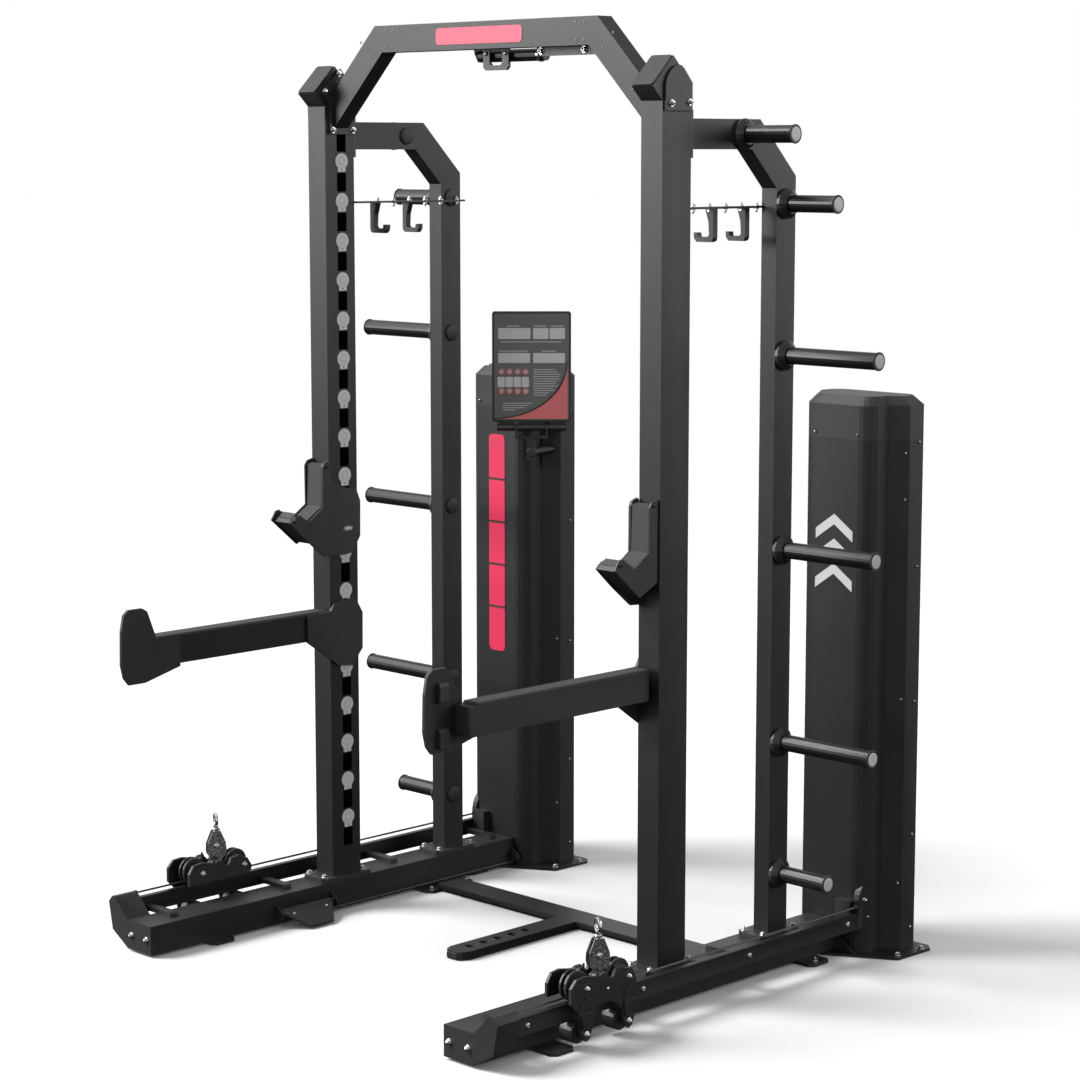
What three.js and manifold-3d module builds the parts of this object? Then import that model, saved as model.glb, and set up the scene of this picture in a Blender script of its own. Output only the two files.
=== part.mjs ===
// Half-rack power cage with two cable resistance towers.
// Millimetres, +Z up. The origin is on the floor at the centre of the footprint,
// +Y runs from the lifter's side to the towers, +X is the lifter's right when facing the towers.
import * as THREE from 'three';
import { mergeVertices } from 'three/addons/utils/BufferGeometryUtils.js';
import Module from 'manifold-3d';

const wasm = await Module();
wasm.setup();

// Overall sizes.
const cageWidth = 1234;
const cageHeight = 2309;
const footprintCentreY = 82;

// Clearances.
const seatGap = 0.3;
const runningGap = 0.4;
const cutMargin = 40;

// Sheet and tube walls.
const tubeWall = 3;
const weldOverlap = 0.5;

// Front uprights.
const uprightWidth = 65.5;
const uprightDepth = 97;
const headRise = 157.5;
const headShoulderDrop = 96;
const headOverhang = 33;
const basePlateThickness = 10.7;
const baseFlangeY = 35;
const baseFlangeFrontY = 42;
const baseCornerCut = 14;
const uprightBaseHalfWidth = 48.5;

// Slots on the inner faces of the front uprights.
const slotPitch = 101.6;
const firstSlotZ = 192;
const slotWidth = 31;
const slotHeight = 48;
const slotCentreY = 54.5;
const slotTopMargin = 90;

// Base rails.
const railWidth = 95;
const railHeight = 74;
const railFrontY = -606;
const railRearY = 655;
const footThickness = 7;
const footLength = 76;
const frontFootY = -398;
const rearFootY = 532;
const frontFootInset = 76;
const rearFootInset = 44;
const frontFootOutset = 120;
const rearFootOutset = 98;
const footCornerCut = 12;

// Tracks beside the rails.
const trackThickness = 16;
const trackHeight = 42;
const trackBottomRise = 64;
const trackOffset = 107.75;
const trackRearY = 652;
const grooveDepth = 1.6;
const grooveHeight = 2.4;
const lugPitch = 374;
const firstLugY = -513;
const lugCount = 4;
const lugInset = 13;
const lugLength = 24;
const lugThickness = 12;
const lugChamfer = 5;
const fenderFrontY = 651;
const fenderRearY = 696;
const fenderRise = 70;
const fenderRadiusY = 30;
const fenderRadiusZ = 52;
const fenderSteps = 6;
const guideFrontY = 636;
const guideInset = 55;
const guideRise = 28;

// End caps at the front of the rails.
const endPlateThickness = 6;
const coverLength = 64;
const coverOutset = 125;

// Rear frames.
const rearTubeWidth = 46;
const rearTubeDepth = 70;
const rearUprightBackY = 483;
const rearTopDrop = 236;
const rearMitre = 132.5;
const flangeThickness = 7.7;
const flangeHalfHeight = 55;
const flangeHalfWidth = 32;
const rearBaseHalfWidth = 47;
const rearBaseFrontY = 371;
const rearBaseRearY = 517;

// Arch over the front.
const archThickness = 48;
const archSection = 66;
const archFrontY = 26;
const archMitre = 158.5;
const archPlateThickness = 6.2;

// Bracket and roller behind the arch.
const pullLeftEarX = -83;
const pullRightEarX = 141;
const pullEarThickness = 6;
const pullPinRadius = 6;
const pullRollerRadius = 15;
const pullRollerSetback = 26;
const pullRollerDrop = 15;

// Weight horns on the rear frames.
const hornRadius = 20.5;
const hornFlangeRadius = 36.5;
const hornFlangeThickness = 8;
const hornFlangeTaper = 13;
const hornFlangeNeck = 24;
const longHornReach = 287.5;
const shortHornReach = 158.5;
const topHornY = 289.5;
const hornSegments = 20;

// Hook rails between front and rear uprights.
const hookRailThickness = 5;
const hookRailWidth = 25;
const hookRailDrop = 444;
const hookRailRearY = 483;
const hookPlateThickness = 16;
const hookRailInset = 17.5;
const hookDrop = 77.5;
const hookReach = 61;
const hookBar = 12;
const hookTipRise = 22;
const leftHookY = 173;
const rightHookY = 240;
const hookSpacing = 114;

// Cross member and the tongue between the rails.
const crossFrontY = 322;
const crossRearY = 405;
const crossHeight = 22;
const crossChamfer = 9;
const crossTabThickness = 6.7;
const crossTabInset = 104;
const crossTabFrontY = 285;
const crossTabRearY = 454.5;
const tongueHalfWidth = 35;
const tongueTipY = -83;
const tongueHoleRadius = 11;
const tongueHolePitch = 49.5;
const tongueHoleCount = 5;

// Towers.
const towerOffset = 17.5;
const towerSeamZ = 1297;
const towerTopZ = 1404;
const towerBevel = 22;
const towerPlateThickness = 6.5;
const towerHalfFront = 69.25;
const towerHalfShoulder = 109.25;
const towerHalfWidth = 151;
const towerFrontY = 658;
const towerBackY = 841;
const towerCornerSteps = 5;
const towerWallScale = 0.975;

// Hooks that hold a bar, and the spotter arms.
const sidePlateThickness = 8;
const clipWidth = 27;
const clipHeight = 36;
const clipDepth = 22;
const clipLip = 9;
const clipLipThickness = 7;
const jHookSlot = 8;
const jHookOuterPlate = 4;
const jHookOuterInset = 8;
const spotterSlot = 5;
const spotterTubeHeight = 68;
const spotterTubeWidth = 48;
const spotterFrontY = -585;
const spotterRearY = -14;
const spotterTubeTop = 126;
const spotterPadFrontY = -562;
const spotterPadThickness = 7;
const endClipY = -627;
const endClipRise = 43;

// Trolleys and their wheels.
const trolleyY = -292;
const trolleyInnerOffset = 42;
const trolleyOuterOffset = 39;
const trolleyPlateThickness = 8;
const rollerRadius = 35.7;
const rollerWidth = 24;
const lowerRollerWidth = 40;
const rollerGrooveWidth = 10;
const rollerGrooveRadius = 19;
const rollerSpacing = 137;
const lowerRollerRadius = 26.7;
const axleRadius = 8;
const wheelSegments = 20;
const guideStubRadius = 6;
const guideStubRise = 49;
const frontGuideY = -20;
const rearGuideY = 57;
const saddleRise = 30;
const saddleThickness = 8;
const cableRadius = 2.8;
const cableRise = 12.5;

// Pulley blocks on the trolleys.
const blockY = 12;
const blockTurn = -25;
const blockPlateThickness = 3;
const blockGap = 17;
const blockHalfWidth = 25.5;
const blockBottomZ = 165;
const blockTopZ = 242;
const sheaveRadius = 23;
const sheaveWidth = 14;
const sheaveZ = 203;
const sheavePinRadius = 6;
const eyeRadius = 15;
const eyeWire = 4;

// Foot pedals on the inner sides of the rails.
const pedalFrontY = -205;
const pedalRearY = -24;
const pedalPlateRearY = -41;
const pedalNoseFrontY = -163;
const pedalNoseRearY = -85;
const pedalPivotOffset = -64;
const pedalPivotZ = 42;
const pedalPinRadius = 4;
const pedalBarrelRadius = 7;
const pedalEarThickness = 5;

// Display on the left tower.
const displayX = -447;
const displayY = 640;
const displayPivotZ = 1251;
const displayWidth = 215;
const displayHeight = 301;
const displayThickness = 14;
const displayTurn = 45;
const displayBarrelRadius = 10;
const displayPinRadius = 5;
const displayEarThickness = 6;
const displayHubHalfWidth = 38;
const displayArmZ = 1183;
const displayArmRadius = 13;

// Derived positions.
const sideX = cageWidth / 2 - uprightWidth / 2;
const halfUpright = uprightWidth / 2;
const halfRail = railWidth / 2;
const railBottomZ = footThickness;
const railTopZ = railBottomZ + railHeight;
const deckZ = railTopZ + seatGap;
const baseTopZ = deckZ + basePlateThickness;
const innerFace = -halfUpright;
const plateNear = innerFace - seatGap;
const plateFar = plateNear - sidePlateThickness;
const jHookOuterFrom = halfUpright - jHookOuterInset;
const trackBottomZ = railBottomZ + trackBottomRise;
const trackTopZ = trackBottomZ + trackHeight;
const trackInner = trackOffset - trackThickness / 2;
const trackOuter = trackOffset + trackThickness / 2;
const coverRearY = railFrontY + coverLength;
const slotCount = Math.floor((cageHeight - headRise - slotTopMargin - firstSlotZ) / slotPitch) + 1;
const rearTopZ = cageHeight - rearTopDrop;
const rearInnerY = rearUprightBackY - rearTubeDepth;
const mitreShift = Math.tan(Math.PI / 8);
const rearCentreY = (rearUprightBackY + rearInnerY) / 2;
const archTopZ = cageHeight;
const archRearY = archFrontY + archThickness;
const pullRollerY = archRearY + pullRollerSetback;
const pullRollerZ = archTopZ - archSection - pullRollerDrop;

const colours = {
  frame: 0x16161a,
  trim: 0x0d0d0e,
  cover: 0x1b1b1e,
  rubber: 0x101011,
  steel: 0xb9bcc0,
  liner: 0x232326,
  panel: 0xb7bbc0,
};

const finishes = {
  frame: { color: colours.frame, roughness: 0.5, metalness: 0.35 },
  trim: { color: colours.trim, roughness: 0.45, metalness: 0.2 },
  cover: { color: colours.cover, roughness: 0.55, metalness: 0.3 },
  rubber: { color: colours.rubber, roughness: 0.8, metalness: 0 },
  steel: { color: colours.steel, roughness: 0.25, metalness: 1 },
  liner: { color: colours.liner, roughness: 0.6, metalness: 0 },
  panel: { color: colours.panel, roughness: 0.4, metalness: 0.05 },
};

// A closed three.js geometry as a solid that can be joined and cut.
function toSolid(geometry) {
  const bare = geometry.clone();
  bare.deleteAttribute('normal');
  bare.deleteAttribute('uv');
  const merged = mergeVertices(bare, 1e-4);
  return new wasm.Manifold(new wasm.Mesh({
    numProp: 3,
    vertProperties: new Float32Array(merged.attributes.position.array),
    triVerts: new Uint32Array(merged.index.array),
  }));
}

function toGeometry(solid) {
  const mesh = solid.getMesh();
  const geometry = new THREE.BufferGeometry();
  geometry.setAttribute('position', new THREE.BufferAttribute(mesh.vertProperties, 3));
  geometry.setIndex(new THREE.BufferAttribute(mesh.triVerts, 1));
  geometry.computeVertexNormals();
  return geometry;
}

function mirrored(geometry) {
  const flipped = geometry.clone();
  flipped.scale(-1, 1, 1);
  const index = flipped.index.array;
  for (let i = 0; i < index.length; i += 3) {
    const swap = index[i];
    index[i] = index[i + 1];
    index[i + 1] = swap;
  }
  flipped.computeVertexNormals();
  return flipped;
}

function joined(...solids) {
  return solids.reduce((sum, solid) => sum.add(solid));
}

function without(solid, ...cuts) {
  return cuts.reduce((rest, cut) => rest.subtract(cut), solid);
}

function outlineShape(points, holes = []) {
  const shape = new THREE.Shape(points.map(([a, b]) => new THREE.Vector2(a, b)));
  for (const hole of holes) {
    shape.holes.push(new THREE.Path(hole.map(([a, b]) => new THREE.Vector2(a, b))));
  }
  return shape;
}

function extruded(points, depth, holes) {
  return new THREE.ExtrudeGeometry(outlineShape(points, holes), { depth, bevelEnabled: false });
}

// Outline in (Y, Z), thickness along X.
function plateAcrossX(points, fromX, toX, holes) {
  const geometry = extruded(points, toX - fromX, holes);
  const turn = new THREE.Matrix4().makeBasis(
    new THREE.Vector3(0, 1, 0),
    new THREE.Vector3(0, 0, 1),
    new THREE.Vector3(1, 0, 0),
  );
  geometry.applyMatrix4(turn);
  geometry.translate(fromX, 0, 0);
  return toSolid(geometry);
}

// Outline in (X, Z), thickness along Y.
function plateAcrossY(points, fromY, toY, holes) {
  const geometry = extruded(points, toY - fromY, holes);
  geometry.rotateX(Math.PI / 2);
  geometry.translate(0, toY, 0);
  return toSolid(geometry);
}

// Outline in (X, Y), thickness along Z.
function plateAcrossZ(points, fromZ, toZ, holes) {
  const geometry = extruded(points, toZ - fromZ, holes);
  geometry.translate(0, 0, fromZ);
  return toSolid(geometry);
}

function block(fromX, toX, fromY, toY, fromZ, toZ) {
  const geometry = new THREE.BoxGeometry(toX - fromX, toY - fromY, toZ - fromZ);
  geometry.translate((fromX + toX) / 2, (fromY + toY) / 2, (fromZ + toZ) / 2);
  return toSolid(geometry);
}

function rectangle(fromA, toA, fromB, toB) {
  return [[fromA, fromB], [toA, fromB], [toA, toB], [fromA, toB]];
}

function circleOutline(radius, centreA, centreB, steps = 16) {
  const points = [];
  for (let step = 0; step < steps; step += 1) {
    const angle = (step / steps) * Math.PI * 2;
    points.push([centreA + radius * Math.cos(angle), centreB + radius * Math.sin(angle)]);
  }
  return points;
}

function cutCorners(fromA, toA, fromB, toB, cut) {
  return [
    [fromA + cut, fromB], [toA - cut, fromB], [toA, fromB + cut], [toA, toB - cut],
    [toA - cut, toB], [fromA + cut, toB], [fromA, toB - cut], [fromA, fromB + cut],
  ];
}

// A round bar between two points.
function rod(start, end, radius, segments = 16) {
  const from = new THREE.Vector3(...start);
  const to = new THREE.Vector3(...end);
  const geometry = new THREE.CylinderGeometry(radius, radius, from.distanceTo(to), segments);
  const along = to.clone().sub(from).normalize();
  geometry.applyQuaternion(new THREE.Quaternion().setFromUnitVectors(new THREE.Vector3(0, 1, 0), along));
  const middle = from.clone().add(to).multiplyScalar(0.5);
  geometry.translate(middle.x, middle.y, middle.z);
  return toSolid(geometry);
}

// A turned solid; the profile is (radius, distance along the axis), closed on itself.
function turned(profile, segments) {
  const points = profile.map(([radius, along]) => new THREE.Vector2(radius, along));
  return new THREE.LatheGeometry(points, segments);
}

function meshOf(name, geometry, finish) {
  const material = new THREE.MeshStandardMaterial({ ...finish, flatShading: true });
  const mesh = new THREE.Mesh(geometry, material);
  mesh.name = name;
  return mesh;
}

// A side piece is described for the right-hand side and mirrored for the left.
function sidePiece(side, name, solid, finish) {
  const geometry = toGeometry(solid);
  return meshOf(`${name}_${side.name}`, side.sign < 0 ? mirrored(geometry) : geometry, finish);
}

const slotZ = (index) => firstSlotZ + index * slotPitch;

function towerOutline(grow) {
  const radius = towerHalfShoulder - towerHalfFront;
  const half = [];
  for (let step = 0; step <= towerCornerSteps; step += 1) {
    const angle = (step / towerCornerSteps) * Math.PI / 2;
    half.push([
      towerHalfFront + radius * Math.sin(angle) + grow,
      towerFrontY + radius * (1 - Math.cos(angle)) - grow,
    ]);
  }
  half.push([towerHalfShoulder + grow, towerFrontY + 68]);
  half.push([towerHalfWidth + grow, towerFrontY + 99]);
  half.push([towerHalfWidth + grow, towerBackY - 30]);
  half.push([towerHalfWidth - 28 + grow, towerBackY + grow]);
  const other = half.map(([x, y]) => [-x, y]).reverse();
  return [...half, ...other];
}

function movedOutline(points, shiftA, shiftB) {
  return points.map(([a, b]) => [a + shiftA, b + shiftB]);
}

function scaledOutline(points, scale, centreA, centreB) {
  return points.map(([a, b]) => [centreA + (a - centreA) * scale, centreB + (b - centreB) * scale]);
}

// The bent clip that drops into an upright's slot: a tongue through the face and a lip behind it.
function slotClip(centreY, bottomZ) {
  const tongueFrom = plateNear - weldOverlap;
  const lipFrom = innerFace + tubeWall + 1;
  const profile = [
    [tongueFrom, bottomZ],
    [lipFrom, bottomZ],
    [lipFrom, bottomZ - clipLip],
    [lipFrom + clipLipThickness, bottomZ - clipLip + 3],
    [lipFrom + clipLipThickness, bottomZ + clipHeight - 8],
    [lipFrom + 2, bottomZ + clipHeight],
    [tongueFrom, bottomZ + clipHeight],
  ];
  return plateAcrossY(profile, centreY - clipWidth / 2, centreY + clipWidth / 2);
}

function railSolid() {
  const tube = plateAcrossY(
    rectangle(-halfRail, halfRail, railBottomZ, railTopZ),
    railFrontY,
    railRearY,
    [rectangle(-halfRail + tubeWall, halfRail - tubeWall, railBottomZ + tubeWall, railTopZ - tubeWall)],
  );
  const foot = (centreY, inset, outset) => plateAcrossZ(
    cutCorners(-inset, outset, centreY - footLength / 2, centreY + footLength / 2, footCornerCut),
    0,
    railBottomZ + weldOverlap,
  );
  const earShape = [
    [-halfRail + 1, pedalPivotZ + 17],
    [pedalPivotOffset - 15, pedalPivotZ - 4],
    [pedalPivotOffset - 15, pedalPivotZ - 17],
    [-halfRail + 1, pedalPivotZ - 30],
  ].reverse();
  const pinHole = circleOutline(pedalPinRadius + runningGap, pedalPivotOffset, pedalPivotZ, 12);
  const frontEarY = pedalFrontY - seatGap - pedalEarThickness;
  const rearEarY = pedalRearY + seatGap;
  return joined(
    tube,
    foot(frontFootY, frontFootInset, frontFootOutset),
    foot(rearFootY, rearFootInset, rearFootOutset),
    plateAcrossY(earShape, frontEarY, frontEarY + pedalEarThickness, [pinHole]),
    plateAcrossY(earShape, rearEarY, rearEarY + pedalEarThickness, [pinHole]),
    plateAcrossY(earShape, railRearY - 12, railRearY - 7),
  );
}

function endCapSolid() {
  const raised = [
    [coverOutset - 14, railTopZ - 37], [coverOutset, railTopZ + 34],
    [coverOutset - 14, railTopZ + 50], [coverOutset - 25, railTopZ + 50],
  ];
  const plate = [
    [-halfRail, railBottomZ], [halfRail, railBottomZ], ...raised, [halfRail + 1, railTopZ],
    [-halfRail, railTopZ],
  ];
  const cover = [
    [halfRail + seatGap, railBottomZ], ...raised, [halfRail + seatGap, railTopZ],
  ];
  const plateRearY = railFrontY - seatGap;
  return joined(
    plateAcrossY(plate, plateRearY - endPlateThickness, plateRearY),
    plateAcrossY(cover, plateRearY - 1, coverRearY),
  );
}

function trackSolid() {
  const lipZ = trackTopZ - 6;
  const bar = plateAcrossY(
    [
      [trackInner, trackBottomZ], [trackOuter, trackBottomZ], [trackOuter, lipZ],
      [trackOuter - grooveDepth, lipZ], [trackOuter - grooveDepth, lipZ + grooveHeight],
      [trackOuter, lipZ + grooveHeight], [trackOuter, trackTopZ], [trackInner, trackTopZ],
    ],
    coverRearY + seatGap,
    trackRearY,
  );
  const lugProfile = [
    [-lugInset, deckZ], [trackInner + weldOverlap, deckZ],
    [trackInner + weldOverlap, deckZ + lugThickness],
    [-lugInset + lugChamfer, deckZ + lugThickness],
    [-lugInset, deckZ + lugThickness - lugChamfer],
  ];
  const lugs = [];
  for (let index = 0; index < lugCount; index += 1) {
    const centreY = firstLugY + index * lugPitch;
    lugs.push(plateAcrossY(lugProfile, centreY - lugLength / 2, centreY + lugLength / 2));
  }
  const fenderTopZ = trackTopZ + fenderRise;
  const fenderOutline = [[fenderFrontY, trackBottomZ + 1], [fenderRearY, trackBottomZ + 1]];
  fenderOutline.push([fenderRearY, fenderTopZ]);
  for (let step = 0; step <= fenderSteps; step += 1) {
    const angle = (step / fenderSteps) * Math.PI / 2;
    fenderOutline.push([
      fenderFrontY + fenderRadiusY * (1 - Math.sin(angle)),
      fenderTopZ - fenderRadiusZ * (1 - Math.cos(angle)),
    ]);
  }
  const fender = plateAcrossX(fenderOutline, trackInner, trackOuter);
  const guide = block(trackOffset - guideInset, trackInner + weldOverlap, guideFrontY, fenderRearY,
    trackTopZ - guideRise, trackTopZ + guideRise);
  const towerRoom = plateAcrossZ(
    movedOutline(towerOutline(seatGap), towerOffset, 0),
    trackBottomZ - cutMargin,
    fenderTopZ + cutMargin,
  );
  return joined(bar, ...lugs, fender, guide).subtract(towerRoom);
}

function uprightSolid() {
  const headZ = cageHeight - headShoulderDrop;
  const shoulderZ = cageHeight - headRise;
  const lean = headZ - shoulderZ;
  const outer = plateAcrossX(
    [
      [0, deckZ + 1], [uprightDepth, deckZ + 1], [uprightDepth, shoulderZ],
      [uprightDepth - lean, headZ], [-headOverhang, headZ - (uprightDepth - lean + headOverhang)],
      [0, headZ - (uprightDepth - lean + headOverhang) - headOverhang],
    ],
    -halfUpright,
    halfUpright,
  );
  const basePlate = plateAcrossZ(
    cutCorners(-uprightBaseHalfWidth, uprightBaseHalfWidth, -baseFlangeFrontY,
      uprightDepth + baseFlangeY, baseCornerCut),
    deckZ,
    baseTopZ,
  );
  const bore = block(-halfUpright + tubeWall, halfUpright - tubeWall, tubeWall, uprightDepth - tubeWall,
    deckZ - cutMargin, shoulderZ - 60);
  const slots = [];
  for (let index = 0; index < slotCount; index += 1) {
    slots.push(block(innerFace - 5, innerFace + tubeWall + 5, slotCentreY - slotWidth / 2,
      slotCentreY + slotWidth / 2, slotZ(index) - slotHeight / 2, slotZ(index) + slotHeight / 2));
  }
  return without(joined(outer, basePlate), bore, ...slots);
}

// The path of a rear frame in (Y, Z): out from the upright, down a mitred corner, then to the rail.
function rearFramePath(inset, frontY, bottomZ) {
  const shift = inset * mitreShift;
  const innerCorner = rearTubeDepth * mitreShift;
  const cornerZ = rearTopZ - rearMitre;
  const cornerY = rearUprightBackY - rearMitre;
  return [
    [frontY, rearTopZ - rearTubeDepth + inset],
    [cornerY - innerCorner + shift, rearTopZ - rearTubeDepth + inset],
    [rearInnerY + inset, cornerZ - innerCorner + shift],
    [rearInnerY + inset, bottomZ],
    [rearUprightBackY - inset, bottomZ],
    [rearUprightBackY - inset, cornerZ - shift],
    [cornerY - shift, rearTopZ - inset],
    [frontY, rearTopZ - inset],
  ];
}

function rearFrameSolid() {
  const flangeFrontY = uprightDepth + seatGap;
  const flangeRearY = flangeFrontY + flangeThickness;
  const halfTube = rearTubeWidth / 2;
  const memberZ = rearTopZ - rearTubeDepth / 2;
  const outer = plateAcrossX(rearFramePath(0, flangeRearY - 1, deckZ + 1), -halfTube, halfTube);
  const inner = plateAcrossX(
    rearFramePath(tubeWall, flangeRearY + tubeWall, deckZ - cutMargin),
    -halfTube + tubeWall,
    halfTube - tubeWall,
  );
  const flange = block(-flangeHalfWidth, flangeHalfWidth, flangeFrontY, flangeRearY,
    memberZ - flangeHalfHeight, memberZ + flangeHalfHeight);
  const basePlate = plateAcrossZ(
    cutCorners(-rearBaseHalfWidth, rearBaseHalfWidth, rearBaseFrontY, rearBaseRearY, baseCornerCut),
    deckZ,
    baseTopZ,
  );
  return without(joined(outer, flange, basePlate), inner);
}

// Half of the arch's outline in (X, Z); the other half is its mirror image.
function archOutline(inset, endX, endGrow) {
  const shift = inset * mitreShift;
  const cornerX = endX - archMitre;
  const innerCornerX = cornerX - archSection * mitreShift;
  const diagonal = inset * Math.SQRT2;
  const outerEndZ = archTopZ - archMitre - diagonal - endGrow;
  const innerEndZ = archTopZ - archSection - (endX - innerCornerX) + diagonal - endGrow;
  const half = [
    [innerCornerX + shift, archTopZ - archSection + inset],
    [endX + endGrow, innerEndZ],
    [endX + endGrow, outerEndZ],
    [cornerX - shift, archTopZ - inset],
  ];
  const other = half.map(([x, z]) => [-x, z]).reverse();
  return [...half, ...other];
}

function archSolid() {
  const plateOuterX = sideX - halfUpright - seatGap;
  const endX = plateOuterX - archPlateThickness;
  const outer = plateAcrossY(archOutline(0, endX, 1), archFrontY, archRearY);
  const inner = plateAcrossY(archOutline(tubeWall, endX, cutMargin), archFrontY + tubeWall,
    archRearY - tubeWall);
  const headZ = cageHeight - headShoulderDrop;
  const shoulderZ = cageHeight - headRise;
  const endPlate = [
    [12, shoulderZ - 110], [uprightDepth + 2, shoulderZ - 110], [uprightDepth + 2, shoulderZ],
    [50, headZ - 6], [-15, headZ - 67], [12, headZ - 100],
  ];
  const plates = [
    plateAcrossX(endPlate, endX, plateOuterX),
    plateAcrossX(endPlate, -plateOuterX, -endX),
  ];
  return without(joined(outer, ...plates), inner);
}

function ringBracketSolid() {
  const backY = archRearY + seatGap;
  const bracketRearY = backY + 7.7;
  const underZ = archTopZ - archSection;
  const loop = [
    [-44, underZ + 46], [-44, underZ - 42], [-36, underZ - 50], [36, underZ - 50],
    [44, underZ - 42], [44, underZ + 46],
  ];
  const loopHole = [
    [-22, underZ - 2], [-22, underZ - 32], [-16, underZ - 38], [16, underZ - 38],
    [22, underZ - 32], [22, underZ - 2],
  ];
  const strap = plateAcrossY(rectangle(-83, 334, underZ + 8, underZ + 46), backY, bracketRearY);
  const tail = plateAcrossY([
    [152, underZ - 20], [334, underZ - 20], [334, underZ + 20], [141, underZ + 20],
    [141, underZ - 9],
  ], backY, bracketRearY);
  const pinHole = circleOutline(pullPinRadius + runningGap, pullRollerY, pullRollerZ);
  const ear = (fromX) => plateAcrossX([
    [bracketRearY - 1, underZ - 6], [archRearY + 20, underZ - 29], [archRearY + 32, underZ - 29],
    [archRearY + 39, underZ - 22], [archRearY + 39, underZ - 8], [archRearY + 20, underZ + 30],
    [bracketRearY - 1, underZ + 40],
  ], fromX, fromX + pullEarThickness, [pinHole]);
  return joined(
    plateAcrossY(loop, backY, bracketRearY, [loopHole]),
    strap,
    tail,
    ear(pullLeftEarX),
    ear(pullRightEarX),
  );
}

// The roller turns on pins in the two ears; its length runs along Y before it is laid along X.
function pullRollerGeometry() {
  const half = (pullRightEarX - pullLeftEarX - pullEarThickness) / 2 - seatGap;
  const pinEnd = half + pullEarThickness;
  return turned([
    [0, -pinEnd], [pullPinRadius, -pinEnd], [pullPinRadius, -half], [pullRollerRadius, -half],
    [pullRollerRadius, half], [pullPinRadius, half], [pullPinRadius, pinEnd], [0, pinEnd],
  ], 20);
}

function hornGeometry(reach) {
  const flangeEnd = hornFlangeThickness + hornFlangeTaper;
  return turned([
    [0, 0], [hornFlangeRadius, 0], [hornFlangeRadius, hornFlangeThickness],
    [hornFlangeNeck, flangeEnd], [hornRadius, flangeEnd], [hornRadius, reach - 2],
    [hornRadius - 2, reach], [0, reach],
  ], hornSegments);
}

function hookRailSolid(firstHookY) {
  const topZ = cageHeight - hookRailDrop + hookRailThickness;
  const underZ = topZ - hookRailThickness;
  const outer = -hookRailInset;
  const inner = outer - hookRailWidth;
  const besideTube = -rearTubeWidth / 2 - seatGap;
  const bar = block(inner, besideTube, uprightDepth + seatGap, hookRailRearY, underZ, topZ);
  const shelf = block(inner, outer, uprightDepth + seatGap, rearInnerY - seatGap, underZ, topZ);
  const tipX = outer - hookReach;
  const footZ = underZ - hookDrop;
  const hook = [
    [outer, underZ + weldOverlap], [inner, underZ + weldOverlap], [outer - 15, underZ - 30],
    [outer - 13, footZ + hookBar + 6], [outer - 18, footZ + hookBar],
    [tipX + hookBar, footZ + hookBar], [tipX + hookBar - 2, footZ + hookTipRise],
    [tipX, footZ + hookTipRise], [tipX + 1, footZ + 9], [tipX + 9, footZ],
    [outer - 10, footZ], [outer - 3, footZ + 3], [outer, footZ + 10],
  ];
  const hooks = [firstHookY, firstHookY + hookSpacing].map((centreY) => plateAcrossY(hook,
    centreY - hookPlateThickness / 2, centreY + hookPlateThickness / 2));
  return joined(bar, shelf, ...hooks);
}

function crossMemberSolid() {
  const beamHalf = sideX - halfRail - 46;
  const tabInner = sideX - crossTabInset;
  const tabOuter = sideX + 16;
  const beam = plateAcrossX([
    [crossFrontY + crossChamfer, 0], [crossRearY, 0], [crossRearY, crossHeight],
    [crossFrontY, crossHeight], [crossFrontY, crossChamfer],
  ], -beamHalf, beamHalf);
  const tab = cutCorners(tabInner, tabOuter, crossTabFrontY, crossTabRearY, footCornerCut);
  const nose = [
    [-tongueHalfWidth, crossFrontY + 20], [-tongueHalfWidth, tongueTipY + 26],
    [-26, tongueTipY + 6], [-18, tongueTipY], [18, tongueTipY], [26, tongueTipY + 6],
    [tongueHalfWidth, tongueTipY + 26], [tongueHalfWidth, crossFrontY + 20],
  ];
  const holes = [];
  for (let index = 0; index < tongueHoleCount; index += 1) {
    holes.push(circleOutline(tongueHoleRadius, 0, tongueTipY + 57 + index * tongueHolePitch));
  }
  return joined(
    beam,
    plateAcrossZ(tab, 0, crossTabThickness),
    plateAcrossZ(tab.map(([x, y]) => [-x, y]).reverse(), 0, crossTabThickness),
    plateAcrossZ(nose, 0, crossHeight, holes),
  );
}

function towerShellSolid() {
  const outline = towerOutline(0);
  const middleY = (towerFrontY + towerBackY) / 2;
  const cavity = scaledOutline(outline, towerWallScale, 0, middleY).reverse();
  const walls = plateAcrossZ(outline, towerPlateThickness - weldOverlap, towerSeamZ, [cavity]);
  const frontY = towerFrontY - 58;
  const footprint = [
    [-28, frontY], [28, frontY], [191, frontY + 96], [195, frontY + 222], [175, frontY + 242],
    [-175, frontY + 242], [-195, frontY + 222], [-191, frontY + 96],
  ];
  const basePlate = plateAcrossZ(footprint, 0, towerPlateThickness, [
    rectangle(-towerHalfFront, towerHalfFront, middleY - 50, middleY + 50),
  ]);
  return joined(walls, basePlate);
}

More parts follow.
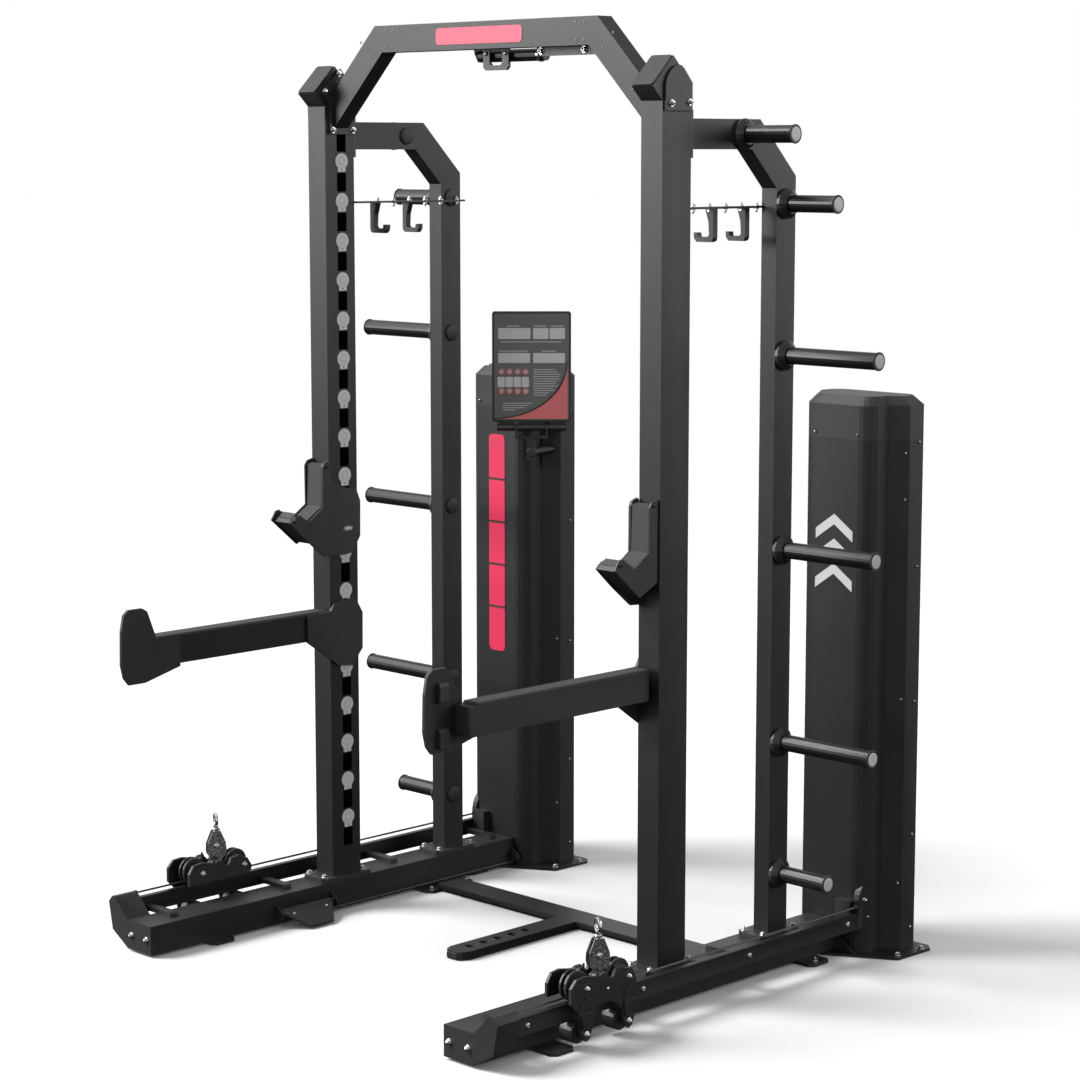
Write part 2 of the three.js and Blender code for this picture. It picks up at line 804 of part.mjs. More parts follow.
// The cap is a thin hood with the shell's outline and a sloping rim around its top.
function towerCapSolid() {
  const outline = towerOutline(0);
  const middleY = (towerFrontY + towerBackY) / 2;
  const rimZ = towerTopZ - towerBevel;
  const walls = plateAcrossZ(outline, towerSeamZ + seatGap, rimZ);
  const slope = extruded(outline, towerBevel);
  const corner = slope.attributes.position;
  const narrowing = 1 - towerBevel / towerHalfWidth;
  const shortening = 1 - towerBevel / (towerBackY - middleY);
  for (let index = 0; index < corner.count; index += 1) {
    if (corner.getZ(index) > towerBevel / 2) {
      corner.setX(index, corner.getX(index) * narrowing);
      corner.setY(index, middleY + (corner.getY(index) - middleY) * shortening);
    }
  }
  slope.translate(0, 0, rimZ);
  const room = plateAcrossZ(
    scaledOutline(outline, towerWallScale, 0, middleY),
    towerSeamZ - cutMargin,
    rimZ - tubeWall,
  );
  return without(joined(walls, toSolid(slope)), room);
}

// Hook and arm outlines are in (Y, height above the bottom edge of the lower slot they hang in).
function jHookSolid() {
  const low = slotZ(jHookSlot) - slotHeight / 2;
  const innerPlate = movedOutline([
    [-4, 224], [-22, 217], [-27, 207], [-28, 100], [-75, 68], [-106, 89], [-120, 86],
    [-138, 71], [-87, 25], [-24, -26], [33, -29], [72, -26], [100, 16], [101, 109],
    [88, 140], [16, 154], [2, 169], [0, 219],
  ], 0, low);
  const outerPlate = movedOutline([
    [-8, 224], [-24, 219], [-31, 208], [-30, 106], [-80, 72], [-120, 99], [-132, 96],
    [-146, 74], [-62, 3], [-2, 33], [-2, 224],
  ], 0, low);
  const cradle = movedOutline([
    [-13, 211], [-13, 95.5], [-39.5, 65], [-84, 45], [-129, 81], [-138, 71],
    [-62, 9], [-1, 40], [-1, 211],
  ], 0, low);
  return joined(
    plateAcrossX(innerPlate, plateFar, plateNear),
    plateAcrossX(outerPlate, jHookOuterFrom, jHookOuterFrom + jHookOuterPlate),
    plateAcrossX(cradle, plateNear - 1, jHookOuterFrom + 1),
    slotClip(slotCentreY, low + seatGap),
    slotClip(slotCentreY, low + slotPitch + seatGap),
  );
}

// The plastic block that the bar rests on, between the hook's two plates.
function jHookLinerSolid() {
  const outline = movedOutline([
    [-13.5, 215], [-25, 210], [-27.5, 103], [-76, 72], [-112, 94], [-128, 82],
    [-84, 46.5], [-40.2, 66], [-13.5, 96],
  ], 0, slotZ(jHookSlot) - slotHeight / 2);
  return plateAcrossX(outline, plateNear + seatGap, jHookOuterFrom - seatGap);
}

function spotterArmSolid() {
  const low = slotZ(spotterSlot) - slotHeight / 2;
  const tubeTopZ = low + spotterTubeTop;
  const tubeBottomZ = tubeTopZ - spotterTubeHeight;
  const tubeFrom = plateNear - weldOverlap;
  const tubeTo = tubeFrom + spotterTubeWidth;
  const uprightPlate = movedOutline([
    [-3, 131], [-83, 127], [-83, 57], [22, -16], [68, -22], [105, 20], [106, 116], [84, 153],
    [48, 160], [8, 151],
  ], 0, low);
  const endPlate = movedOutline([
    [-568, 126], [-597, 202], [-612, 211], [-654, 211], [-668, 199], [-676, 160], [-678, 77],
    [-670, 42], [-655, 24], [-607, 24], [-498, 52], [-497, 125],
  ], 0, low);
  const bore = plateAcrossX(
    rectangle(spotterFrontY - cutMargin, spotterRearY - 10, tubeBottomZ + tubeWall,
      tubeTopZ - tubeWall),
    tubeFrom + tubeWall,
    tubeTo - tubeWall,
  );
  const tube = block(tubeFrom, tubeTo, spotterFrontY, spotterRearY, tubeBottomZ, tubeTopZ);
  return joined(
    without(tube, bore),
    plateAcrossX(uprightPlate, plateFar, plateNear),
    plateAcrossX(endPlate, plateFar, plateNear),
    slotClip(slotCentreY, low + seatGap),
    slotClip(slotCentreY, low + slotPitch + seatGap),
    slotClip(endClipY, low + endClipRise),
    slotClip(endClipY, low + endClipRise + slotPitch),
  );
}

function spotterPadSolid() {
  const topZ = slotZ(spotterSlot) - slotHeight / 2 + spotterTubeTop;
  const from = plateNear + seatGap;
  const to = plateNear + spotterTubeWidth - weldOverlap;
  const padZ = topZ + seatGap;
  return plateAcrossY([
    [from, padZ], [to, padZ], [to, padZ + spotterPadThickness - 2],
    [to - 3, padZ + spotterPadThickness], [from + 3, padZ + spotterPadThickness],
    [from, padZ + spotterPadThickness - 2],
  ], spotterPadFrontY, spotterRearY - 2);
}

// Trolley pieces are laid out around the middle of the track, with Y from the trolley's centre.
const upperAxleZ = trackTopZ + seatGap + rollerRadius;
const lowerAxleZ = trackBottomZ - seatGap - lowerRollerRadius;
const axleYs = [-rollerSpacing / 2, rollerSpacing / 2];

function trolleySolid() {
  const innerFrom = -trolleyInnerOffset - trolleyPlateThickness / 2;
  const outerFrom = trolleyOuterOffset - trolleyPlateThickness / 2;
  const outerTo = outerFrom + trolleyPlateThickness;
  const outerPlate = movedOutline([
    [-118, -27], [-92, -53], [-88, -79], [-86, -102], [-80, -116], [-69, -122], [-57, -116],
    [-50, -94], [-40, -69], [-36, -53], [-23, -45], [13, -45], [29, -54], [46, -72], [52, -99],
    [57, -116], [69, -122], [80, -116], [86, -102], [90, -74], [95, -64], [95, -12], [78, 19],
    [60, 21], [38, 27], [26, 25], [18, 9], [5, 9], [-2, 25], [-18, 25], [-25, 21], [-45, 24],
    [-70, 29], [-100, 27], [-118, 9],
  ], 0, upperAxleZ);
  const innerPlate = movedOutline([
    [-112, -27], [85, -27], [95, -9], [80, 16], [50, 27], [26, 25], [18, 9], [5, 9], [-2, 25],
    [-18, 25], [-25, 21], [-45, 24], [-70, 29], [-98, 25], [-112, 5],
  ], 0, upperAxleZ);
  const bridge = (y, z, radius) => rod([innerFrom + 2, y, z], [outerFrom + 2, y, z], radius, 12);
  const guideZ = trackTopZ + guideStubRise;
  const wheelSide = rollerWidth / 2 + 2;
  const guideStub = (y) => [
    rod([innerFrom + 2, y, guideZ], [-wheelSide, y, guideZ], guideStubRadius, 12),
    rod([wheelSide, y, guideZ], [outerFrom + 2, y, guideZ], guideStubRadius, 12),
  ];
  return joined(
    plateAcrossX(innerPlate, innerFrom, innerFrom + trolleyPlateThickness),
    plateAcrossX(outerPlate, outerFrom, outerTo),
    ...axleYs.map((y) => bridge(y, upperAxleZ, axleRadius)),
    ...axleYs.map((y) => rod([-lowerRollerWidth / 2 - 4, y, lowerAxleZ],
      [outerFrom + 2, y, lowerAxleZ], axleRadius, 12)),
    ...guideStub(frontGuideY),
    ...guideStub(rearGuideY),
    block(innerFrom + 2, outerFrom + 2, blockY - 8, blockY + 8, trackTopZ + saddleRise,
      trackTopZ + saddleRise + saddleThickness),
  );
}

function upperWheelGeometry() {
  const half = rollerWidth / 2;
  const groove = rollerGrooveWidth / 2;
  const bore = axleRadius + runningGap;
  return turned([
    [bore, -half], [rollerRadius - 2, -half], [rollerRadius, -half + 2], [rollerRadius, -groove],
    [rollerGrooveRadius, -groove + 1], [rollerGrooveRadius, groove - 1], [rollerRadius, groove],
    [rollerRadius, half - 2], [rollerRadius - 2, half], [bore, half], [bore, -half],
  ], wheelSegments);
}

function lowerWheelGeometry() {
  const half = lowerRollerWidth / 2;
  const bore = axleRadius + runningGap;
  return turned([
    [bore, -half], [lowerRollerRadius - 2, -half], [lowerRollerRadius, -half + 2],
    [lowerRollerRadius, half - 2], [lowerRollerRadius - 2, half], [bore, half], [bore, -half],
  ], wheelSegments);
}

// Two cheek plates, the neck and the eye of a pulley block; its Z is the real height.
function pulleyBlockSolid() {
  const cheek = [];
  const bottomCentreZ = blockBottomZ + blockHalfWidth;
  for (let step = 0; step <= 12; step += 1) {
    const angle = Math.PI + (step / 12) * Math.PI;
    cheek.push([blockHalfWidth * Math.cos(angle), bottomCentreZ + blockHalfWidth * Math.sin(angle)]);
  }
  cheek.push([blockHalfWidth - 1, sheaveZ + 6], [11, blockTopZ], [-11, blockTopZ]);
  cheek.push([-blockHalfWidth + 1, sheaveZ + 6]);
  const half = blockGap / 2;
  const eye = new THREE.TorusGeometry(eyeRadius, eyeWire, 8, 16);
  eye.rotateX(Math.PI / 2);
  eye.translate(0, 0, blockTopZ + 10 + eyeRadius + eyeWire);
  const stemBottomZ = trackTopZ + saddleRise + saddleThickness + seatGap;
  return joined(
    plateAcrossX(cheek, -half - blockPlateThickness, -half),
    plateAcrossX(cheek, half, half + blockPlateThickness),
    rod([-half - 5, 0, sheaveZ], [half + 5, 0, sheaveZ], sheavePinRadius, 12),
    block(-half - 1, half + 1, -9, 9, blockTopZ - 10, blockTopZ - 2),
    block(-half - 1, half + 1, -7, 7, blockBottomZ + 2, blockBottomZ + 8),
    rod([0, 0, blockTopZ - 6], [0, 0, blockTopZ + 14], 6, 12),
    rod([0, 0, stemBottomZ], [0, 0, blockBottomZ + 4], 5.5, 12),
    toSolid(eye),
  );
}

function sheaveGeometry() {
  const half = sheaveWidth / 2;
  const bore = sheavePinRadius + runningGap;
  return turned([
    [bore, -half], [sheaveRadius, -half], [sheaveRadius, -half + 2], [sheaveRadius - 6, -2],
    [sheaveRadius - 6, 2], [sheaveRadius, half - 2], [sheaveRadius, half], [bore, half],
    [bore, -half],
  ], wheelSegments);
}

function pedalSolid() {
  const profile = [
    [pedalPivotOffset - 4, pedalPivotZ + 3], [pedalPivotOffset - 15, pedalPivotZ - 1],
    [pedalPivotOffset - 70, 11], [pedalPivotOffset - 70, 6], [pedalPivotOffset - 15, pedalPivotZ - 6],
    [pedalPivotOffset - 2, pedalPivotZ - 4],
  ];
  const plate = plateAcrossY(profile, pedalFrontY, pedalPlateRearY);
  const top = pedalPivotOffset - 15;
  const nose = pedalPivotOffset - 70;
  const frontCut = plateAcrossZ([
    [top, pedalFrontY], [nose - 10, pedalNoseFrontY + 7.6], [nose - 10, pedalFrontY - 20],
    [top, pedalFrontY - 20],
  ], -10, 80);
  const rearCut = plateAcrossZ([
    [top, pedalPlateRearY + 20], [nose - 10, pedalPlateRearY + 20], [nose - 10, pedalNoseRearY - 8],
    [top, pedalPlateRearY],
  ], -10, 80);
  const barrel = rod([pedalPivotOffset, pedalFrontY + 1, pedalPivotZ],
    [pedalPivotOffset, pedalPlateRearY, pedalPivotZ], pedalBarrelRadius, 16);
  const pin = rod([pedalPivotOffset, pedalFrontY - seatGap - pedalEarThickness - 2, pedalPivotZ],
    [pedalPivotOffset, pedalRearY + seatGap + pedalEarThickness + 2, pedalPivotZ], pedalPinRadius, 12);
  return joined(without(plate, frontCut, rearCut), barrel, pin);
}

// The display is laid out around its barrel: X along the screen's width, -Y out of its face.
function displaySolid() {
  const half = displayWidth / 2;
  const faceBottom = displayBarrelRadius + 6;
  const faceTop = faceBottom + displayHeight;
  const halfThick = displayThickness / 2;
  const panel = plateAcrossY(cutCorners(-half, half, faceBottom, faceTop, 5), -halfThick, halfThick);
  const earFrom = displayHubHalfWidth + seatGap;
  const earTo = earFrom + displayEarThickness + seatGap;
  const barrel = (from, to) => rod([from, 0, 0], [to, 0, 0], displayBarrelRadius, 16);
  const hub = [-displayHubHalfWidth + 2, displayHubHalfWidth - 2];
  return joined(
    panel,
    barrel(-95, -earTo),
    barrel(earTo, 95),
    barrel(-displayHubHalfWidth, displayHubHalfWidth),
    rod([-90, 0, 0], [90, 0, 0], displayPinRadius, 12),
    block(hub[0], hub[1], -5, 5, 4, faceBottom + 1),
    block(-92, -earTo - 2, -5, 5, 4, faceBottom + 1),
    block(earTo + 2, 92, -5, 5, 4, faceBottom + 1),
  );
}

const displayAngle = THREE.MathUtils.degToRad(displayTurn);

// The bracket from the left tower's inner facet to the ears that hold the display's barrel.
function displayMountSolid() {
  const toWorld = (x, y) => [
    displayX + x * Math.cos(displayAngle) - y * Math.sin(displayAngle),
    displayY + x * Math.sin(displayAngle) + y * Math.cos(displayAngle),
  ];
  const towerX = -(sideX + towerOffset);
  const facetStart = new THREE.Vector2(towerX + towerHalfShoulder, towerFrontY + 68);
  const facetEnd = new THREE.Vector2(towerX + towerHalfWidth, towerFrontY + 99);
  const along = facetEnd.clone().sub(facetStart).normalize();
  const outward = new THREE.Vector2(along.y, -along.x);
  const middle = facetStart.clone().add(facetEnd).multiplyScalar(0.5);
  const near = middle.clone().addScaledVector(outward, seatGap + 0.2);
  const far = middle.clone().addScaledVector(outward, seatGap + 6.2);
  const padCorner = (base, sign) => [
    base.x + along.x * sign * 25, base.y + along.y * sign * 25,
  ];
  const pad = plateAcrossZ(
    [padCorner(near, -1), padCorner(far, -1), padCorner(far, 1), padCorner(near, 1)],
    displayArmZ - 45,
    displayArmZ + 45,
  );
  const postBase = toWorld(0, 0);
  const arm = rod([far.x - outward.x * weldOverlap, far.y - outward.y * weldOverlap, displayArmZ],
    [postBase[0], postBase[1], displayArmZ], displayArmRadius);
  const post = rod([postBase[0], postBase[1], displayArmZ - 20],
    [postBase[0], postBase[1], displayPivotZ - displayBarrelRadius - 14], displayArmRadius);
  const earHole = circleOutline(displayPinRadius + runningGap, 0, 0);
  const earOutline = [[-12, -30], [12, -30], [12, 4], [6, 11], [-6, 11], [-12, 4]];
  const earFrom = displayHubHalfWidth + seatGap;
  const ear = (from) => plateAcrossX(earOutline, from, from + displayEarThickness, [earHole]);
  const yokeGeometry = toGeometry(joined(
    ear(earFrom),
    ear(-earFrom - displayEarThickness),
    block(-earFrom - 1, earFrom + 1, -12, 12, -30, -displayBarrelRadius - 12),
  ));
  yokeGeometry.rotateZ(displayAngle);
  yokeGeometry.translate(displayX, displayY, displayPivotZ);
  return joined(toSolid(yokeGeometry), post, arm, pad);
}

const sides = [{ name: 'left', sign: -1 }, { name: 'right', sign: 1 }];
const group = new THREE.Group();
const cage = new THREE.Group();
cage.position.y = -footprintCentreY;
group.add(cage);

const rearTopFromFloor = rearTopZ - rearMitre - deckZ;
const hornPlaces = [
  { y: topHornY, z: rearTopZ - rearTubeDepth / 2, reach: shortHornReach },
  { y: rearCentreY, z: deckZ + rearTopFromFloor * 0.965, reach: shortHornReach },
  { y: rearCentreY, z: deckZ + rearTopFromFloor * 0.7706, reach: longHornReach },
  { y: rearCentreY, z: deckZ + rearTopFromFloor * 0.5173, reach: longHornReach },
  { y: rearCentreY, z: deckZ + rearTopFromFloor * 0.2619, reach: longHornReach },
  { y: rearCentreY, z: deckZ + rearTopFromFloor * 0.0843, reach: shortHornReach },
];

const rail = railSolid();
const endCap = endCapSolid();
const track = trackSolid();
const upright = uprightSolid();
const rearFrame = rearFrameSolid();
const towerShell = towerShellSolid();
const towerCap = towerCapSolid();
const jHook = jHookSolid();
const jHookLiner = jHookLinerSolid();
const spotterArm = spotterArmSolid();
const spotterPad = spotterPadSolid();
const trolley = trolleySolid();
const pedal = pedalSolid();
const upperWheel = upperWheelGeometry();
const lowerWheel = lowerWheelGeometry();
const pulleyBlock = toGeometry(pulleyBlockSolid());
const sheave = sheaveGeometry();

for (const side of sides) {
  const flank = new THREE.Group();
  flank.position.x = side.sign * sideX;
  cage.add(flank);
  const firstHookY = side.sign < 0 ? leftHookY : rightHookY;
  flank.add(
    sidePiece(side, 'rail', rail, finishes.frame),
    sidePiece(side, 'end_cap', endCap, finishes.frame),
    sidePiece(side, 'track', track, finishes.trim),
    sidePiece(side, 'upright', upright, finishes.frame),
    sidePiece(side, 'rear_frame', rearFrame, finishes.frame),
    sidePiece(side, 'hook_rail', hookRailSolid(firstHookY), finishes.trim),
    sidePiece(side, 'jhook', jHook, finishes.frame),
    sidePiece(side, 'jhook_liner', jHookLiner, finishes.liner),
    sidePiece(side, 'spotter_arm', spotterArm, finishes.frame),
    sidePiece(side, 'spotter_pad', spotterPad, finishes.rubber),
    sidePiece(side, 'pedal', pedal, finishes.trim),
  );

  const tower = new THREE.Group();
  tower.position.x = side.sign * towerOffset;
  tower.add(
    sidePiece(side, 'tower_shell', towerShell, finishes.cover),
    sidePiece(side, 'tower_cap', towerCap, finishes.cover),
  );
  flank.add(tower);

  hornPlaces.forEach((place, index) => {
    const horn = meshOf(`horn_${side.name}_${index + 1}`, hornGeometry(place.reach), finishes.trim);
    horn.position.set(side.sign * (rearTubeWidth / 2 + seatGap), place.y, place.z);
    horn.rotation.z = -side.sign * Math.PI / 2;
    flank.add(horn);
  });

  const trackLine = new THREE.Group();
  trackLine.position.x = side.sign * trackOffset;
  flank.add(trackLine);

  const cableZ = trackTopZ + cableRise;
  const cable = new THREE.CylinderGeometry(cableRadius, cableRadius,
    fenderFrontY - coverRearY - 2 * seatGap, 8);
  const cableMesh = meshOf(`cable_${side.name}`, cable, finishes.rubber);
  cableMesh.position.set(0, (fenderFrontY + coverRearY) / 2, cableZ);
  trackLine.add(cableMesh);

  const carriage = new THREE.Group();
  carriage.position.y = trolleyY;
  trackLine.add(carriage);
  carriage.add(sidePiece(side, 'trolley', trolley, finishes.trim));
  axleYs.forEach((y, index) => {
    const place = index === 0 ? 'front' : 'rear';
    const upper = meshOf(`wheel_upper_${place}_${side.name}`, upperWheel, finishes.rubber);
    upper.position.set(0, y, upperAxleZ);
    upper.rotation.z = Math.PI / 2;
    const lower = meshOf(`wheel_lower_${place}_${side.name}`, lowerWheel, finishes.rubber);
    lower.position.set(0, y, lowerAxleZ);
    lower.rotation.z = Math.PI / 2;
    carriage.add(upper, lower);
  });
  const swivel = new THREE.Group();
  swivel.position.y = blockY;
  swivel.rotation.z = THREE.MathUtils.degToRad(blockTurn);
  carriage.add(swivel);
  const sheaveMesh = meshOf(`sheave_${side.name}`, sheave, finishes.trim);
  sheaveMesh.position.z = sheaveZ;
  sheaveMesh.rotation.z = Math.PI / 2;
  swivel.add(meshOf(`pulley_block_${side.name}`, pulleyBlock, finishes.steel), sheaveMesh);
}

const roller = meshOf('pull_roller', pullRollerGeometry(), finishes.steel);
roller.position.set((pullLeftEarX + pullRightEarX + pullEarThickness) / 2, pullRollerY, pullRollerZ);
roller.rotation.z = Math.PI / 2;

const display = meshOf('display', toGeometry(displaySolid()), finishes.panel);
display.position.set(displayX, displayY, displayPivotZ);
display.rotation.z = displayAngle;

cage.add(
  meshOf('arch', toGeometry(archSolid()), finishes.frame),
  meshOf('ring_bracket', toGeometry(ringBracketSolid()), finishes.trim),
  roller,
  meshOf('cross_member', toGeometry(crossMemberSolid()), finishes.frame),
  display,
  meshOf('display_mount', toGeometry(displayMountSolid()), finishes.trim),
);

export default group;
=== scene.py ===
"""Visual model of a half-rack power cage with two cable resistance towers."""
import math

import bmesh
import bpy
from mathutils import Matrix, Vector


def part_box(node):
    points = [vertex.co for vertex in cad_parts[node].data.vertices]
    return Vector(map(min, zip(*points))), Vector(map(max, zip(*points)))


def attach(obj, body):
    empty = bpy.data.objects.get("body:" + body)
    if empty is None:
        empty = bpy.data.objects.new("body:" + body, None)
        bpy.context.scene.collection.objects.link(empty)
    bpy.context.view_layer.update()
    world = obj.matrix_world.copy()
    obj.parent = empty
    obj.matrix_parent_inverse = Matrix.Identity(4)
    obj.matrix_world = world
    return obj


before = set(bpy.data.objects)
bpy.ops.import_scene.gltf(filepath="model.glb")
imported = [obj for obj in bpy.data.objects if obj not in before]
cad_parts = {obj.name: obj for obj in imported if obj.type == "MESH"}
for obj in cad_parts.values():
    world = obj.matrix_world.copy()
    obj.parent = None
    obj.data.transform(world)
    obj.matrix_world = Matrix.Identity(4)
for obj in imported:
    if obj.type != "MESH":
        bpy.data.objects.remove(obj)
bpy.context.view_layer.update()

SIDES = (("left", -1), ("right", 1))
MM = 0.001
X, Y, Z = Vector((1, 0, 0)), Vector((0, 1, 0)), Vector((0, 0, 1))

# Places taken from the CAD frame: the line of each side, and the front face of the uprights.
UPRIGHT_LOW, UPRIGHT_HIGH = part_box("upright_right")
BASE_REACH = 0.042
SIDE_X = (UPRIGHT_LOW.x + UPRIGHT_HIGH.x) / 2
FRONT_Y = UPRIGHT_LOW.y + BASE_REACH
HEAD = UPRIGHT_HIGH.z * 1000
ARCH_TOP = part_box("arch")[1].z * 1000

# Sizes and places in millimetres. Places run outward from a side's line, back from FRONT_Y, up.
INNER_FACE = -32.9
SLOT_PITCH = 101.6
FIRST_SLOT = 192
BADGE_COUNT = 18
BASE_PLATE_TOP = 92
CABLE_LINE = 107.75
CABLE_HEIGHT = 125.5
TROLLEY_BACK = -292
TROLLEY_OUTER_FACE = 150.4
TROLLEY_OUTER_HEADS = 150.6
TROLLEY_INNER_HEADS = 61.9
UPPER_AXLE = 149
LOWER_AXLE = 44
JHOOK_INNER_FACE = -41.1
JHOOK_OUTER_FACE = 28.75
TOWER_OFFSET = 17.5
TOWER_FRONT = 657.8
DISPLAY_X = -447
DISPLAY_BACK = 640
DISPLAY_PIVOT = 1251


def at(side, out, back, up):
    """A point in millimetres: outward from a side's line, back from the uprights' front, up."""
    return Vector((side * (SIDE_X + out * MM), FRONT_Y + back * MM, up * MM))


def mid(across, back, up):
    """A point in millimetres: across from the middle, back from the uprights' front, up."""
    return Vector((across * MM, FRONT_Y + back * MM, up * MM))


# ---------------------------------------------------------------- materials
def node_material(name, colour, roughness, metallic=0.0):
    material = bpy.data.materials.new(name)
    material.use_nodes = True
    shader = material.node_tree.nodes["Principled BSDF"]
    shader.inputs["Base Color"].default_value = (*colour, 1)
    shader.inputs["Roughness"].default_value = roughness
    shader.inputs["Metallic"].default_value = metallic
    return material, material.node_tree, shader


def noise(tree, scale, detail=3.0, stretch=None):
    texture = tree.nodes.new("ShaderNodeTexNoise")
    texture.inputs["Scale"].default_value = scale
    texture.inputs["Detail"].default_value = detail
    coordinates = tree.nodes.new("ShaderNodeTexCoord")
    source = coordinates.outputs["Object"]
    if stretch is not None:
        mapping = tree.nodes.new("ShaderNodeMapping")
        mapping.inputs["Scale"].default_value = stretch
        tree.links.new(source, mapping.inputs["Vector"])
        source = mapping.outputs["Vector"]
    tree.links.new(source, texture.inputs["Vector"])
    return texture


def ramp(tree, source, stops):
    node = tree.nodes.new("ShaderNodeValToRGB")
    while len(node.color_ramp.elements) < len(stops):
        node.color_ramp.elements.new(0.5)
    for element, (place, colour) in zip(node.color_ramp.elements, stops):
        element.position = place
        element.color = (*colour, 1)
    tree.links.new(source, node.inputs["Fac"])
    return node


def grey(value):
    return (value, value, value)


def bump(tree, shader, source, strength, distance):
    node = tree.nodes.new("ShaderNodeBump")
    node.inputs["Strength"].default_value = strength
    node.inputs["Distance"].default_value = distance
    tree.links.new(source, node.inputs["Height"])
    tree.links.new(node.outputs["Normal"], shader.inputs["Normal"])


def coated(name, dark, light, rough_low, rough_high, grain, strength, edge=0.02, metallic=0.0):
    """Paint or plastic: a cloudy tone, a fine grain in the surface and a painted highlight that makes
    the edges paler.
    """
    material, tree, shader = node_material(name, dark, rough_low, metallic)
    cloud = noise(tree, 6.0, 4.0)
    tone = ramp(tree, cloud.outputs["Fac"], [(0.35, dark), (0.7, light)])
    geometry = tree.nodes.new("ShaderNodeNewGeometry")
    # Painted highlight: edges with high pointiness take a paler colour, the light tone raised by
    # edge.
    edge_highlight_mask = ramp(tree, geometry.outputs["Pointiness"], [(0.52, grey(0.0)), (0.60, grey(1.0))])
    mix = tree.nodes.new("ShaderNodeMix")
    mix.data_type = "RGBA"
    tree.links.new(edge_highlight_mask.outputs["Color"], mix.inputs["Factor"])
    tree.links.new(tone.outputs["Color"], mix.inputs["A"])
    mix.inputs["B"].default_value = (light[0] + edge, light[1] + edge, light[2] + edge, 1)
    tree.links.new(mix.outputs["Result"], shader.inputs["Base Color"])
    speck = noise(tree, grain, 2.0)
    gloss = ramp(tree, speck.outputs["Fac"], [(0.3, grey(rough_low)), (0.75, grey(rough_high))])
    tree.links.new(gloss.outputs["Color"], shader.inputs["Roughness"])
    bump(tree, shader, speck.outputs["Fac"], strength, 0.0006)
    return material


def metal(name, dark, light, rough_low, rough_high, stretch=None):
    """Bare or plated metal: fine scratches along one direction and a slight change of tone."""
    material, tree, shader = node_material(name, light, rough_low, 1.0)
    scratches = noise(tree, 220.0, 3.0, stretch)
    tone = ramp(tree, scratches.outputs["Fac"], [(0.3, dark), (0.7, light)])
    tree.links.new(tone.outputs["Color"], shader.inputs["Base Color"])
    gloss = ramp(tree, scratches.outputs["Fac"], [(0.3, grey(rough_low)), (0.7, grey(rough_high))])
    tree.links.new(gloss.outputs["Color"], shader.inputs["Roughness"])
    bump(tree, shader, scratches.outputs["Fac"], 0.12, 0.0003)
    return material


# The edge argument of coated sets how much paler its painted edge highlight is.
FRAME_PAINT = coated("frame_paint", grey(0.007), (0.011, 0.0108, 0.0105), 0.36, 0.52, 750, 0.5)
TRIM_PAINT = coated("trim_paint", grey(0.0045), grey(0.0075), 0.36, 0.5, 700, 0.3)
COVER_PAINT = coated("cover_paint", grey(0.007), (0.0105, 0.0103, 0.010), 0.4, 0.56, 900, 0.5)
HORN_COAT = coated("horn_coat", grey(0.008), grey(0.012), 0.28, 0.42, 500, 0.15)
LINER_PLASTIC = coated("liner_plastic", grey(0.012), grey(0.018), 0.42, 0.6, 650, 0.3)
PAD_RUBBER = coated("pad_rubber", grey(0.010), grey(0.016), 0.55, 0.78, 420, 0.7)
WHEEL_PLASTIC = coated("wheel_plastic", grey(0.008), grey(0.014), 0.3, 0.45, 300, 0.2)
CABLE_SHEATH = coated("cable_sheath", grey(0.010), grey(0.016), 0.3, 0.42, 260, 0.2)
PLATED = metal("plated_steel", grey(0.5), grey(0.78), 0.16, 0.32)
ROLLER_STEEL = metal("roller_steel", grey(0.05), grey(0.09), 0.3, 0.45, (1, 30, 30))
BADGE_GREY = coated("badge_grey", grey(0.5), grey(0.6), 0.4, 0.55, 500, 0.2, edge=0.08)
BADGE_MARK = coated("badge_mark", grey(0.3), grey(0.36), 0.4, 0.5, 500, 0.1, edge=0.05)
CAP_WHITE = coated("cap_white", grey(0.5), grey(0.62), 0.35, 0.5, 300, 0.15, edge=0.1)
ACCENT_RED = coated("accent_red", (0.72, 0.008, 0.07), (0.80, 0.014, 0.09), 0.35, 0.45, 500, 0.1)
PANEL_GREY = coated("panel_grey", grey(0.075), grey(0.1), 0.3, 0.42, 600, 0.1, edge=0.05)
PANEL_RED = coated("panel_red", (0.72, 0.13, 0.14), (0.78, 0.17, 0.18), 0.35, 0.45, 500, 0.1)
PANEL_PRINT = coated("panel_print", grey(0.4), grey(0.5), 0.35, 0.45, 500, 0.1, edge=0.05)
PANEL_WINDOW = coated("panel_window", grey(0.55), grey(0.64), 0.15, 0.25, 300, 0.05, edge=0.02)
PANEL_DARK = coated("panel_dark", grey(0.01), grey(0.016), 0.22, 0.32, 500, 0.1)
MARK_WHITE = coated("mark_white", grey(0.6), grey(0.75), 0.4, 0.5, 400, 0.1)


# ---------------------------------------------------------------- shapes
def basis(axis):
    axis = axis.normalized()
    helper = Vector((0, 0, 1)) if abs(axis.z) < 0.9 else Vector((0, 1, 0))
    first = helper.cross(axis).normalized()
    return first, axis.cross(first).normalized(), axis


